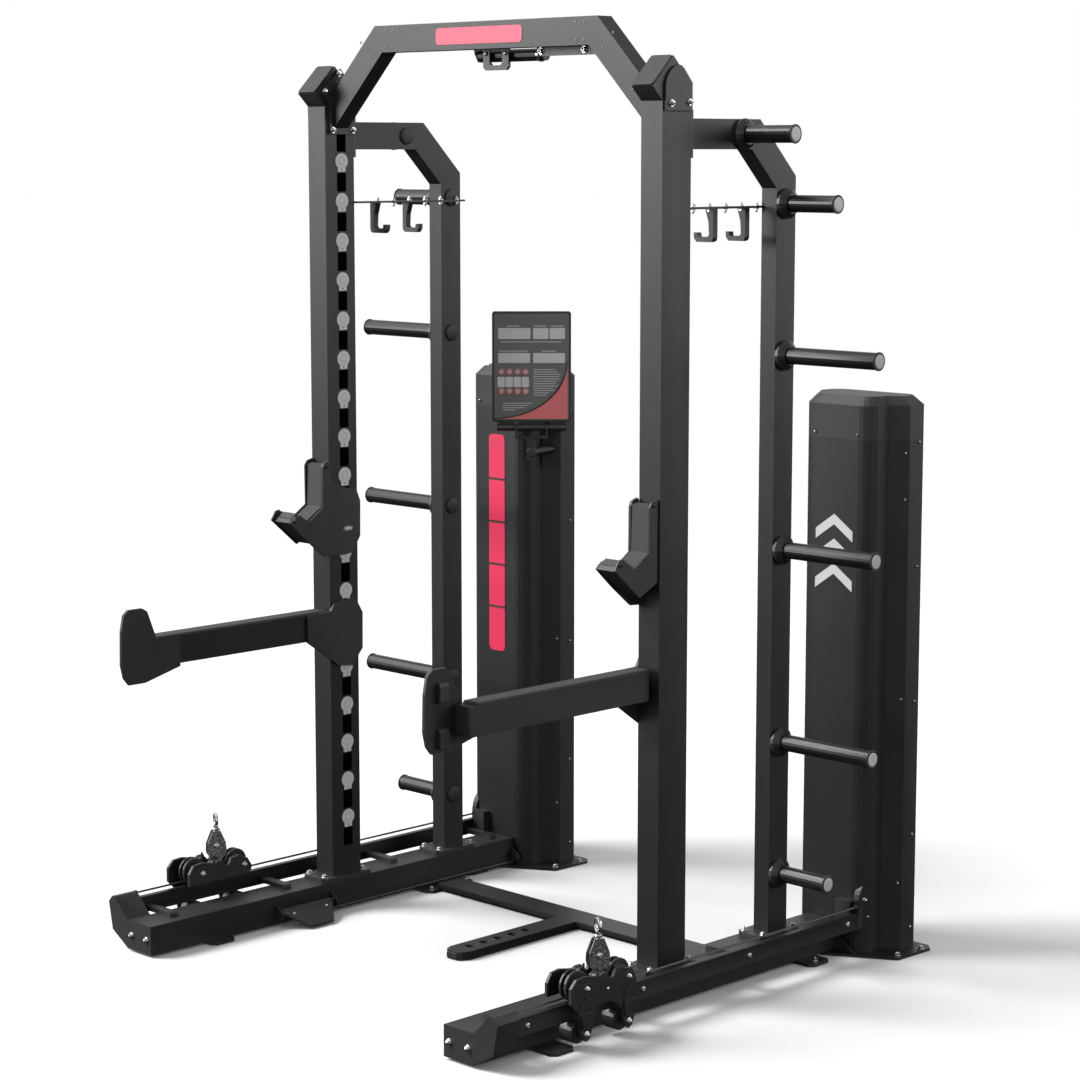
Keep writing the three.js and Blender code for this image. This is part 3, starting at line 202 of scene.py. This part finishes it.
def lathe(profile, origin, axis, segments=24, material=0):
    """A turned part: profile is (radius, distance along the axis) in millimetres."""
    first, second, along = basis(axis)
    rings, faces, points = [], [], []
    for radius, distance in profile:
        centre = origin + along * distance * MM
        if radius < 1e-6:
            rings.append([len(points)])
            points.append(centre)
            continue
        ring = []
        for step in range(segments):
            angle = 2 * math.pi * step / segments
            ring.append(len(points))
            offset = first * math.cos(angle) + second * math.sin(angle)
            points.append(centre + offset * radius * MM)
        rings.append(ring)
    for low, high in zip(rings, rings[1:]):
        for step in range(segments):
            after = (step + 1) % segments
            if len(low) == 1 and len(high) == 1:
                continue
            if len(low) == 1:
                faces.append((low[0], high[after], high[step]))
            elif len(high) == 1:
                faces.append((low[step], low[after], high[0]))
            else:
                faces.append((low[step], low[after], high[after], high[step]))
    return points, faces, material


def slab(outline, origin, across, up, thickness, material=0):
    """A plate: outline in millimetres along two directions, raised along their cross product."""
    across, up = across.normalized(), up.normalized()
    normal = across.cross(up)
    count = len(outline)
    base = [origin + across * a * MM + up * b * MM for a, b in outline]
    points = base + [point + normal * thickness * MM for point in base]
    faces = [tuple(reversed(range(count))), tuple(range(count, 2 * count))]
    for step in range(count):
        after = (step + 1) % count
        faces.append((step, after, after + count, step + count))
    return points, faces, material


def rounded(width, height, radius, steps=4, centre=(0, 0)):
    """The outline of a rectangle with round corners."""
    outline = []
    for index, (sx, sy) in enumerate(((1, -1), (1, 1), (-1, 1), (-1, -1))):
        for step in range(steps + 1):
            angle = math.radians(-90 + 90 * index + 90 * step / steps)
            outline.append((
                centre[0] + sx * (width / 2 - radius) + radius * math.cos(angle),
                centre[1] + sy * (height / 2 - radius) + radius * math.sin(angle),
            ))
    return outline


def flipped(outline, side):
    """An outline drawn for the right side, mirrored when it is wanted on the left."""
    return outline if side > 0 else [(-a, b) for a, b in reversed(outline)]


def tube(path, radius, segments=10, material=0):
    """A round strand that follows a list of points."""
    points, faces = [], []
    for index, place in enumerate(path):
        before, after = path[max(index - 1, 0)], path[min(index + 1, len(path) - 1)]
        first, second, _ = basis(after - before)
        for step in range(segments):
            angle = 2 * math.pi * step / segments
            points.append(place + (first * math.cos(angle) + second * math.sin(angle)) * radius * MM)
    for index in range(len(path) - 1):
        for step in range(segments):
            after = (step + 1) % segments
            low, high = index * segments, (index + 1) * segments
            faces.append((low + step, low + after, high + after, high + step))
    faces.append(tuple(reversed(range(segments))))
    faces.append(tuple(range((len(path) - 1) * segments, len(path) * segments)))
    return points, faces, material


def hex_bolt(origin, axis, size=9.0, washer=12.0, material=0):
    """A hexagon head on a washer, with the domed end of its thread."""
    return [
        lathe([(0, 0), (washer, 0), (washer, 1.6), (washer - 1, 2.2), (0, 2.2)], origin, axis, 20,
              material),
        lathe([(0, 2.2), (size, 2.2), (size, 6.4), (size - 1.6, 7.6), (size * 0.5, 7.8),
               (size * 0.45, 9.6), (size * 0.25, 10.4), (0, 10.6)], origin, axis, 6, material),
    ]


def cap_bolt(origin, axis, size=8.0, material=0):
    """A round domed head with a dimple in it."""
    return [lathe([(0, 0), (size, 0), (size, 2.4), (size * 0.86, 4.2), (size * 0.5, 5.2),
                   (size * 0.42, 5.2), (size * 0.4, 3.4), (0, 3.2)], origin, axis, 18, material)]


def make(name, parts, materials, body="cage", bevel=0.0, smooth=30):
    """One piece from a list of parts, with the given materials; it rides on a body."""
    mesh = bpy.data.meshes.new(name)
    points, faces, indices = [], [], []
    for part_points, part_faces, material in parts:
        start = len(points)
        points.extend(part_points)
        faces.extend(tuple(start + corner for corner in face) for face in part_faces)
        indices.extend([material] * len(part_faces))
    mesh.from_pydata(points, [], faces)
    mesh.polygons.foreach_set("material_index", indices)
    for material in materials:
        mesh.materials.append(material)
    work = bmesh.new()
    work.from_mesh(mesh)
    bmesh.ops.recalc_face_normals(work, faces=work.faces)
    work.to_mesh(mesh)
    work.free()
    mesh.shade_smooth()
    mesh.set_sharp_from_angle(angle=math.radians(smooth))
    piece = bpy.data.objects.new(name, mesh)
    bpy.context.scene.collection.objects.link(piece)
    if bevel:
        soften(piece, bevel, 2)
    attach(piece, body)
    return piece


def soften(piece, width, segments):
    modifier = piece.modifiers.new("edge", "BEVEL")
    modifier.width = width
    modifier.segments = segments
    modifier.limit_method = "ANGLE"
    modifier.angle_limit = math.radians(28)
    modifier.harden_normals = True
    modifier.use_clamp_overlap = True


# ---------------------------------------------------------------- CAD nodes
def dress(node, material, bevel):
    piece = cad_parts[node]
    piece.data.materials.clear()
    piece.data.materials.append(material)
    piece.data.shade_smooth()
    piece.data.set_sharp_from_angle(angle=math.radians(24))
    if bevel:
        soften(piece, bevel, 2)


# Material and edge width, in metres, of each kind of node; any other is a painted frame piece.
FINISHES = {
    "sheave": (WHEEL_PLASTIC, 0.001),
    "tower_shell": (COVER_PAINT, 0.0),
    "tower_cap": (COVER_PAINT, 0.003),
    "jhook_liner": (LINER_PLASTIC, 0.004),
    "spotter_pad": (PAD_RUBBER, 0.0015),
    "cable": (CABLE_SHEATH, 0.0),
    "pulley_block": (PLATED, 0.0008),
    "pull_roller": (ROLLER_STEEL, 0.001),
    "display": (PANEL_DARK, 0.0015),
}
for stem in ("track", "hook_rail", "pedal", "trolley", "ring_bracket", "display_mount"):
    FINISHES[stem] = (TRIM_PAINT, 0.001)

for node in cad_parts:
    stem = node.replace("_left", "").replace("_right", "")
    if stem.startswith("horn"):
        dress(node, HORN_COAT, 0.0015)
    elif stem.startswith("wheel"):
        dress(node, WHEEL_PLASTIC, 0.001)
    else:
        dress(node, *FINISHES.get(stem, (FRAME_PAINT, 0.002)))


# ---------------------------------------------------------------- pieces of each side
def floor_bolts(name, side):
    """Bolts of the base plates, the rail's end, the track and the foot."""
    bolts = []
    for outs, backs in (((-28.5, 34), (-25, 108)), ((-31, 30), (387, 503))):
        for back in backs:
            for out in outs:
                bolts += hex_bolt(at(side, out, back, BASE_PLATE_TOP), Z, 7.5, 10)
    for out in (-30, 31):
        bolts += hex_bolt(at(side, out, -612.3, 43.5), -Y, 6, 8.5)
    for index in range(4):
        bolts += cap_bolt(at(side, 115.6, -513 + 374 * index, BASE_PLATE_TOP), side * X, 7.5)
    bolts += hex_bolt(at(side, 78, 530, 7.4), Z, 7, 9)
    make(f"floor_bolts_{name}", bolts, [PLATED])


def arch_joint(name, side):
    """Bolts and the outer plate that hold the arch to the upright."""
    bolts = []
    for back, drop in ((22, 161), (90, 161), (-3, 64), (44, 18)):
        bolts += hex_bolt(at(side, -39.2, back, HEAD - drop), -side * X, 6.5, 8.5)
    for back, drop in ((24, 107), (85, 104)):
        bolts += hex_bolt(at(side, 38.8, back, HEAD - drop), side * X, 6.5, 8.5)
    make(f"arch_bolts_{name}", bolts, [PLATED])
    corners = ((4, 124), (95, 124), (95, 60), (66, 28), (58, 22), (48, 20), (34, 24), (20, 34),
               (10, 47), (5, 60), (4, 70))
    outline = [(back, HEAD - drop) for back, drop in corners]
    plate = slab(outline, at(side, -INNER_FACE, 0, 0), Y, Z, 6 * side)
    make(f"arch_plate_{name}", [plate], [TRIM_PAINT], bevel=0.001)


def head_cap(name, side):
    """A cap closes the sloping front of the upright's head."""
    slope, normal = (Y + Z).normalized(), (Z - Y).normalized()
    middle = at(side, 0, 1.5, HEAD - 34.5)
    cap = slab(rounded(64.5, 95, 7), middle + normal * 0.0004, X, slope, 4)
    make(f"head_cap_{name}", [cap], [FRAME_PAINT], bevel=0.0016)


def badge_outline(steps=18):
    """A round badge that stands on a square foot."""
    outline = []
    for step in range(steps + 1):
        angle = math.radians(-52 + 284 * step / steps)
        outline.append((21 * math.cos(angle), 3 + 20.5 * math.sin(angle)))
    return outline + [(-12.5, -24), (12.5, -24)]


def slot_badges(name, side):
    """Grey badges between the slots, each with a ring and a small hole mark."""
    inward = -side * X
    badges = []
    for index in range(BADGE_COUNT):
        up = FIRST_SLOT + SLOT_PITCH * index + SLOT_PITCH / 2
        centre = at(side, INNER_FACE, 54.5, up)
        badges.append(slab(flipped(badge_outline()[::-1], side), centre, -side * Y, Z, 1.2))
        ring = [(8.6, 1.2), (9.2, 1.45), (9.8, 1.2)]
        badges.append(lathe(ring, centre + Z * 0.004, inward, 20, 1))
        mark = [(0, 1.2), (2.1, 1.2), (1.8, 1.6), (0, 1.6)]
        badges.append(lathe(mark, centre - Z * 0.0185, inward, 8, 2))
    make(f"slot_badges_{name}", badges, [BADGE_GREY, BADGE_MARK, PANEL_DARK])


def hook_rail_bolts(name, side):
    """The hook rail's bolts stand upright, with round heads above and nuts below."""
    bolts = []
    rail_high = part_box(f"hook_rail_{name}")[1].z * 1000
    for index in range(6):
        back = 178 + 56.4 * index
        bolts += hex_bolt(at(side, -32, back, rail_high), Z, 5.5, 7)
        bolts += hex_bolt(at(side, -32, back, rail_high - 5), -Z, 5, 6.5)
    make(f"hook_rail_bolts_{name}", bolts, [PLATED])


def horn_ends(name, side):
    """White end discs on the horns, their rims, and round plugs on the frame's inner face."""
    outward = side * X
    disc_profile = [(0, -0.5), (16.5, -0.5), (16.5, 0.8), (15.5, 1.6), (12, 1.8), (0, 2.1)]
    plug_profile = [(0, 0), (22.5, 0), (22.5, 3), (20, 6), (12, 7.5), (0, 8)]
    rim_profile = [(18.5, 0), (22.3, 0), (22.3, 2.2), (20.5, 3.4), (17.2, 2.6), (17, 0)]
    discs, plugs = [], []
    for index in range(1, 7):
        low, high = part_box(f"horn_{name}_{index}")
        centre = (low + high) / 2
        tip = Vector((high.x if side > 0 else low.x, centre.y, centre.z))
        inner = Vector((side * (SIDE_X - 0.0231), centre.y, centre.z))
        discs.append(lathe(disc_profile, tip, outward, 28))
        plugs.append(lathe(plug_profile, inner, -outward, 28))
        plugs.append(lathe(rim_profile, tip - outward * 0.003, outward, 28))
    make(f"horn_discs_{name}", discs, [CAP_WHITE])
    make(f"frame_plugs_{name}", plugs, [LINER_PLASTIC])


def jhook_trim(name, side):
    """Pins of the bar hook and the oval badge on its side."""
    hook = f"jhook_{name}"
    inward = -side * X
    hook_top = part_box(hook)[1].z * 1000
    pins = []
    for back, drop in ((-16, 12), (-128, 138)):
        pins += cap_bolt(at(side, JHOOK_OUTER_FACE, back, hook_top - drop), side * X, 5)
    for back, drop in ((-12, 16), (-122, 148)):
        pins += cap_bolt(at(side, JHOOK_INNER_FACE, back, hook_top - drop), inward, 5)
    make(f"hook_pins_{name}", pins, [LINER_PLASTIC], body=hook)
    oval = []
    for step in range(24):
        angle = math.radians(15 * step)
        oval.append((17 * math.cos(angle), 7 * math.sin(angle)))
    spot = at(side, JHOOK_INNER_FACE, 58, hook_top - 184)
    small_oval = [(a * 0.72, b * 0.5) for a, b in oval]
    badge = slab(oval, spot, -side * Y, Z, 1.0)
    middle = slab(small_oval, spot + inward * 0.001, -side * Y, Z, 0.5, 1)
    make(f"hook_badge_{name}", [badge, middle], [PLATED, BADGE_GREY], body=hook)


def arm_plug(name, side):
    """A plug in the open front end of the spotter arm's tube."""
    tube_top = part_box(f"spotter_pad_{name}")[0].z * 1000 - 0.3
    centre = at(side, -9.55, -585, tube_top - 34)
    plug = slab(rounded(47, 67, 4), centre + Y * 0.0005, X, Z, 3.5)
    lip = slab(rounded(40, 60, 6), centre - Y * 0.003, X, Z, 1.2)
    make(f"arm_plug_{name}", [plug, lip], [LINER_PLASTIC],
         body=f"spotter_arm_{name}", bevel=0.001)


def guide_rollers(name, side):
    """Grooved guide rollers on the trolley's stubs."""
    profile = [(5.9, 0), (12, 0), (13.4, 1.2), (13.4, 5), (11.8, 6.5), (11.8, 13), (13.4, 14.5),
               (13.4, 19), (12, 20), (5.9, 20)]
    rollers = []
    for along in (-20, 57):
        for start in (-38, 14):
            spot = at(side, CABLE_LINE + start, TROLLEY_BACK + along, 162)
            rollers.append(lathe(profile, spot, side * X, 24))
    make(f"guide_rollers_{name}", rollers, [WHEEL_PLASTIC], body=f"trolley_{name}")


def axle_bolts(name, side):
    """Bolts on the ends of the trolley's axles, and one in the middle of its outer plate."""
    bolts = []
    for along, up in ((-68.5, UPPER_AXLE), (68.5, UPPER_AXLE), (-69, LOWER_AXLE), (69, LOWER_AXLE)):
        spot = at(side, TROLLEY_OUTER_HEADS, TROLLEY_BACK + along, up)
        bolts += hex_bolt(spot, side * X, 5.5, 8)
    bolts += cap_bolt(at(side, TROLLEY_OUTER_HEADS, TROLLEY_BACK - 3, 136), side * X, 5)
    for along in (-68.5, 68.5):
        spot = at(side, TROLLEY_INNER_HEADS, TROLLEY_BACK + along, UPPER_AXLE)
        bolts += hex_bolt(spot, -side * X, 5.5, 8)
    make(f"axle_bolts_{name}", bolts, [PLATED], body=f"trolley_{name}")


def trolley_ribs(name, side):
    """Raised legs, bosses and face plates on the trolley's outer plate."""
    ribs = []

    def rib(outline, along, rise, depth):
        origin = at(side, TROLLEY_OUTER_FACE, TROLLEY_BACK + along, rise)
        ribs.append(slab(flipped(outline, side), origin, side * Y, Z, depth))

    for along, lean in ((-69, -4), (69, 4)):
        rib([(-13, -4), (13, -4), (19, 16), (21 + lean, 34), (-21 + lean, 34), (-19, 16)],
            along, 62, 5.0)
        rib([(-21 + lean, 0), (21 + lean, 0), (16, 22), (0, 29), (-16, 22)], along, 100, 3.0)
    for along, half in ((-72, 26), (66, 24), (-3, 22)):
        rib([(-half, 0), (half, 0), (half - 4, 22), (half - 12, 34), (12 - half, 34),
             (4 - half, 22)], along, 128, 2.2)
    make(f"trolley_ribs_{name}", ribs, [TRIM_PAINT], body=f"trolley_{name}",
         bevel=0.0012)


def block_finger(name, side, steps=8):
    """A bent steel finger beside the pulley block."""
    path = []
    for step in range(steps + 1):
        share = step / steps
        bow = 9 * math.sin(math.pi * share * 0.6)
        path.append(at(side, CABLE_LINE, TROLLEY_BACK - 26 - bow, 156 + 36 * share))
    make(f"block_finger_{name}", [tube(path, 3.0)], [TRIM_PAINT],
         body=f"trolley_{name}")


def block_pins(name, side):
    """The pin's heads and small rivets on the pulley block's cheeks, and a collar above."""
    turned_by = math.radians(-25)
    normal = Vector((math.cos(turned_by), math.sin(turned_by), 0))
    beside = Vector((-normal.y, normal.x, 0))
    centre = at(side, CABLE_LINE, -280, 203)
    heads = []
    for direction in (normal, -normal):
        cheek = centre + direction * 0.0114
        heads += cap_bolt(cheek, direction, 7)
        for turn in range(6):
            angle = math.radians(60 * turn + 30)
            offset = beside * math.cos(angle) + Z * math.sin(angle)
            rivet = [(0, 0), (2.2, 0), (2.0, 0.8), (0, 1.0)]
            heads.append(lathe(rivet, cheek + offset * 0.017, direction, 10))
    collar = [(0, 0), (9.5, 0), (10.5, 2), (10.5, 6), (8.5, 8), (0, 8)]
    heads.append(lathe(collar, centre + Z * 0.0385, Z, 24))
    make(f"block_pins_{name}", heads, [PLATED], body=f"pulley_block_{name}")


def tower_screws(name, side):
    """Screws of the tower's sheet cover, and its floor bolts."""
    low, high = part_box(f"tower_shell_{name}")
    tower_x = (low.x + high.x) / 2 * 1000
    screws = []
    for sign in (-1, 1):
        facet_out = Vector((sign * 0.596, -0.803, 0))
        for up in (1265, 1150, 650, 180):
            screws += cap_bolt(mid(tower_x + sign * 143, 751.1, up), facet_out, 3.6)
        for up in (1290, 980, 640, 300, 60):
            screws += cap_bolt(mid(tower_x + sign * 150.8, 792, up), sign * X, 3.8)
        screws += cap_bolt(mid(tower_x + sign * 66, 657.9, 1310), -Y, 3.2)
        for across, back in ((176, 712), (182, 800)):
            screws += hex_bolt(mid(tower_x + sign * across, back, 6.6), Z, 7, 9)
    make(f"tower_screws_{name}", screws, [PLATED])


def pedal_marks(name, side):
    """Plus marks on the left pedal's wings, minus marks on the right's, and the fold lines."""
    tilt = math.atan2(31.5, 55)
    down_slope = Vector((-side * math.cos(tilt), 0, -math.sin(tilt)))
    bars = [(11, 3.2)] if side > 0 else [(11, 3.2), (3.2, 11)]
    marks, folds = [], []
    for back in (-178, -68):
        for a, b in bars:
            outline = [(-a, -b), (a, -b), (a, b), (-a, b)]
            marks.append(slab(outline, at(side, -93, back, 33.2), Y * side, down_slope, -1.0))
    for back in (-163, -85):
        outline = [(-1, -26), (1, -26), (1, 27), (-1, 27)]
        folds.append(slab(outline, at(side, -106, back, 26.4), Y * side, down_slope, -1.2))
    make(f"pedal_marks_{name}", marks, [MARK_WHITE], body=f"pedal_{name}")
    make(f"pedal_folds_{name}", folds, [TRIM_PAINT], body=f"pedal_{name}")


def cable_fittings(name, side):
    """The cable's grommets in the end cover and the rear fender, and the fender's bolts."""
    profile = [(3.4, -1), (7, -1), (7, 2), (6, 4), (4, 5), (3.4, 5)]
    grommets, bolts = [], []
    for back, direction in ((-541.8, Y), (650.9, -Y)):
        grommets.append(lathe(profile, at(side, CABLE_LINE, back, CABLE_HEIGHT), direction, 20))
    for back, up in ((674, 142), (684, 98)):
        bolts += hex_bolt(at(side, 115.9, back, up), side * X, 4.5, 6.5)
        bolts += hex_bolt(at(side, 99.6, back, up), -side * X, 4.5, 6.5)
    make(f"cable_grommets_{name}", grommets, [LINER_PLASTIC])
    make(f"fender_bolts_{name}", bolts, [PLATED])


def pedal_rod(name, side):
    """A thin rod from the pedal to the tower, along the rail's lower inner edge."""
    path = []
    for back in (-18, 150, 320, 490, 652):
        path.append(at(side, -51.5, back, 13 + 0.004 * (back - 20)))
    make(f"pedal_rod_{name}", [tube(path, 3.6, 12)], [TRIM_PAINT])


def rail_web(name, side):
    """A web stiffens the rail's rear end."""
    outline = flipped([(0, 0), (62, 0), (62, 3), (0, 46)], side)
    web = slab(outline, at(side, 48, 648, 7), X, Z, 5)
    make(f"rail_web_{name}", [web], [TRIM_PAINT], bevel=0.0008)


SIDE_PIECES = (
    floor_bolts, arch_joint, head_cap, slot_badges, hook_rail_bolts, horn_ends, jhook_trim,
    arm_plug, guide_rollers, axle_bolts, trolley_ribs, block_finger, block_pins, tower_screws,
    pedal_marks, cable_fittings, pedal_rod, rail_web,
)
for side_name, side_sign in SIDES:
    for build_piece in SIDE_PIECES:
        build_piece(side_name, side_sign)


# ---------------------------------------------------------------- arch
DIMPLE = [(0, 0), (3.4, 0), (3.0, 0.8), (0, 1.0)]
ARCH_FACE = 25.9
dimples = []
for across in (-345, -318, 318, 345):
    for drop in (12, 54):
        dimples.append(lathe(DIMPLE, mid(across, ARCH_FACE, ARCH_TOP - drop), -Y, 12))
for sign in (-1, 1):
    for along, drop in ((404, 74), (438, 40), (500, 170), (534, 136)):
        dimples.append(lathe(DIMPLE, mid(sign * along, ARCH_FACE, ARCH_TOP - drop), -Y, 12))
make("weld_dimples", dimples, [HORN_COAT])
stripe = slab(rounded(300, 40, 9), mid(-10, 25.7, ARCH_TOP - 33), X, Z, 0.8)
make("arch_stripe", [stripe], [ACCENT_RED])
bracket = []
for across in (156, 300):
    bracket += hex_bolt(mid(across, 74.2, ARCH_TOP - 74), -Y, 7, 9)
for across in (-34, 34):
    bracket += cap_bolt(mid(across, 74.2, ARCH_TOP - 76), -Y, 5)
make("bracket_bolts", bracket, [PLATED])
RING_PROFILE = [(15, 0), (17, 1), (17, 7), (15, 8), (14.5, 8), (14.5, 0)]
ring = [lathe(RING_PROFILE, mid(126, 100, 2228), X, 24)]
make("roller_ring", ring, [PLATED], body="pull_roller")

# ---------------------------------------------------------------- floor frame
cross_bolts = []
for sign in (-1, 1):
    for back in (305, 434):
        cross_bolts += hex_bolt(mid(sign * 496, back, 6.8), Z, 7, 9)
make("cross_bolts", cross_bolts, [PLATED])
plug = slab(rounded(36, 16, 4), mid(0, -83.2, 11), X, Z, 3)
make("tongue_plug", [plug], [LINER_PLASTIC], bevel=0.001)
RIM_PROFILE = [(11.2, 0), (14, 0), (13.5, 0.9), (11.6, 1.0)]
rims = [lathe(RIM_PROFILE, mid(0, -26 + 49.5 * index, 22.0), Z, 24) for index in range(5)]
make("tongue_rims", rims, [HORN_COAT])

# ---------------------------------------------------------------- tower decoration
TOWER_X = SIDE_X * 1000 + TOWER_OFFSET
band = slab(rounded(62, 610, 14), mid(-TOWER_X, TOWER_FRONT, 915), X, Z, 1.0)
notches = [slab(rounded(62, 6, 1), mid(-TOWER_X, 656.7, 915 + shift), X, Z, 0.6, 1)
           for shift in (-180, -60, 60, 180)]
make("tower_band_left", [band, *notches], [ACCENT_RED, COVER_PAINT])
chevrons = []
for rise in (0, 62, 124):
    chevron = [(-58, 0), (0, 40), (58, 0), (58, 26), (0, 66), (-58, 26)]
    chevrons.append(slab(chevron, mid(TOWER_X - 2, TOWER_FRONT, 920 + rise), X, Z, 1.0))
make("tower_chevrons_right", chevrons, [BADGE_GREY])

# ---------------------------------------------------------------- display
DISPLAY_TURN = math.radians(45)
face_across = Vector((math.cos(DISPLAY_TURN), math.sin(DISPLAY_TURN), 0))
face_out = Vector((math.sin(DISPLAY_TURN), -math.cos(DISPLAY_TURN), 0))
face_base = mid(DISPLAY_X, DISPLAY_BACK, DISPLAY_PIVOT + 16) + face_out * 0.0071


def face(outline, lift, thickness, material=0):
    """A flat shape on the display's face: outline across and up, lifted off it."""
    return slab(outline, face_base + face_out * lift * MM, face_across, Z, thickness, material)


def print_bar(left, length, up, height):
    """A plain bar that stands for a line of print."""
    outline = [(left, up), (left + length, up), (left + length, up + height), (left, up + height)]
    return face(outline, 0.75, 0.3)


panel = face(rounded(203, 289, 6, centre=(0, 150.5)), 0, 0.8)
make("display_face", [panel], [PANEL_GREY], body="display")
windows = []
for left, right, low, high in ((-91, -3, 226, 256), (4, 46, 226, 256), (49, 91, 226, 256),
                               (-91, -4, 161, 188), (4, 91, 161, 188), (-93, -73, 95, 123),
                               (-71, -51, 95, 123), (-49, -29, 95, 123), (-27, -7, 95, 123)):
    middle = ((left + right) / 2, (low + high) / 2)
    windows.append(face(rounded(right - left, high - low, 3, centre=middle), 0.7, 0.7))
make("display_windows", windows, [PANEL_WINDOW], body="display")
KEY_RING = [(5.6, 0), (8.6, 0), (8.6, 1.0), (7.6, 1.6), (6.2, 1.4), (5.6, 0.6)]
KEY_CAP = [(0, 0), (5.7, 0), (5.4, 1.0), (3, 1.5), (0, 1.6)]
keys = []
for up in (137, 84):
    for column in range(4):
        spot = face_base + face_across * (-82 + 22 * column) * MM + Z * up * MM + face_out * 0.0007
        keys.append(lathe(KEY_RING, spot, face_out, 24, 0))
        keys.append(lathe(KEY_CAP, spot, face_out, 24, 1))
make("display_keys", keys, [PANEL_RED, PANEL_PRINT], body="display")
sweep = []
for step in range(17):
    angle = math.radians(90 * step / 16)
    sweep.append((-100 + 198 * math.sin(angle), 162 - 154 * math.cos(angle)))
corner = [(98, 8)] + sweep[::-1]
rim = sweep + [(a - 3, b + 3) for a, b in reversed(sweep)]
make("display_corner", [face(corner, 0.75, 0.5, 0), face(rim, 1.0, 0.6, 1)],
     [PANEL_RED, PANEL_DARK], body="display")
lines = []
for row, length in enumerate((60, 66, 74, 70, 72, 64, 60, 66, 54, 58, 42, 36)):
    lines.append(print_bar(5, length, 142 - 6.4 * row, 2.2))
for row, length in enumerate((78, 70, 60, 34)):
    lines.append(print_bar(-78, length, 50 - 6 * row, 2))
for left, right, up in ((-69, -33, 260), (6, 40, 260), (52, 88, 260), (-90, -10, 192),
                        (28, 66, 192), (-84, 82, 217)):
    lines.append(print_bar(left, right - left, up, 2.4))
make("display_lines", lines, [PANEL_PRINT], body="display")
KNOB_PROFILE = [(0, 0), (6, 0), (6, 10), (12, 12), (14, 15), (14, 26), (11.5, 29), (0, 30)]
knob_base = mid(DISPLAY_X, DISPLAY_BACK, 1186) + face_out * 0.0125
knob = [lathe(KNOB_PROFILE, knob_base, face_out, 12)]
make("display_knob", knob, [LINER_PLASTIC])

# ---------------------------------------------------------------- floor, light and camera
floor_mesh = bpy.data.meshes.new("floor")
FLOOR_HALF = 90.0
floor_corners = [(a * FLOOR_HALF, b * FLOOR_HALF, 0) for a, b in ((-1, -1), (1, -1), (1, 1), (-1, 1))]
floor_mesh.from_pydata(floor_corners, [], [(0, 1, 2, 3)])
floor = bpy.data.objects.new("floor", floor_mesh)
bpy.context.scene.collection.objects.link(floor)
floor_material, floor_tree, floor_shader = node_material("floor_pale", grey(0.9), 0.55)
floor_tone = ramp(floor_tree, noise(floor_tree, 1.5).outputs["Fac"],
                  [(0.2, grey(0.9)), (0.8, grey(0.93))])
floor_tree.links.new(floor_tone.outputs["Color"], floor_shader.inputs["Base Color"])
floor_mesh.materials.append(floor_material)
floor.visible_glossy = False
floor.visible_diffuse = False

world = bpy.data.worlds.new("studio")
world.use_nodes = True
background = world.node_tree.nodes["Background"]
direction = world.node_tree.nodes.new("ShaderNodeTexCoord")
split = world.node_tree.nodes.new("ShaderNodeSeparateXYZ")
world.node_tree.links.new(direction.outputs["Generated"], split.inputs["Vector"])
height = world.node_tree.nodes.new("ShaderNodeMapRange")
height.inputs["From Min"].default_value = -1
height.inputs["From Max"].default_value = 1
world.node_tree.links.new(split.outputs["Z"], height.inputs["Value"])
sky = ramp(world.node_tree, height.outputs["Result"],
           [(0.0, grey(0.04)), (0.46, grey(0.04)), (0.485, grey(1.0)), (0.62, grey(1.0)),
            (0.75, grey(0.45)), (1.0, grey(0.45))])
world.node_tree.links.new(sky.outputs["Color"], background.inputs["Color"])
background.inputs["Strength"].default_value = 1.0
bpy.context.scene.world = world
bpy.context.scene.view_settings.view_transform = "Standard"


def area_light(name, place, target, size, power):
    data = bpy.data.lights.new(name, "AREA")
    data.shape = "RECTANGLE"
    data.size, data.size_y = size
    data.energy = power
    light = bpy.data.objects.new(name, data)
    light.location = place
    aim = Vector(target) - Vector(place)
    light.rotation_euler = aim.to_track_quat("-Z", "Y").to_euler()
    light.visible_camera = False
    bpy.context.scene.collection.objects.link(light)


area_light("key", (-3.9, -4.3, 3.1), (0, 0, 1.3), (2.8, 2.6), 230)
area_light("side", (4.6, 4.6, 2.8), (0, 0, 1.2), (2.4, 2.6), 60)
sun_data = bpy.data.lights.new("sun", "SUN")
sun_data.energy = 2.6
sun_data.angle = math.radians(24)
sun = bpy.data.objects.new("sun", sun_data)
sun.rotation_euler = Vector((0.5, 0.42, -0.76)).to_track_quat("-Z", "Y").to_euler()
bpy.context.scene.collection.objects.link(sun)

CAMERA_TURN = math.radians(45.04)
CAMERA_PITCH = math.radians(8.14)
camera_data = bpy.data.cameras.new("camera")
camera_data.sensor_width = 36
camera_data.lens = 90.77
camera_data.clip_end = 400
camera = bpy.data.objects.new("camera", camera_data)
camera.location = mid(4814.3, -4581.5, 2000.3)
camera.rotation_euler = (math.radians(90) - CAMERA_PITCH, 0, CAMERA_TURN)
bpy.context.scene.collection.objects.link(camera)
bpy.context.scene.camera = camera
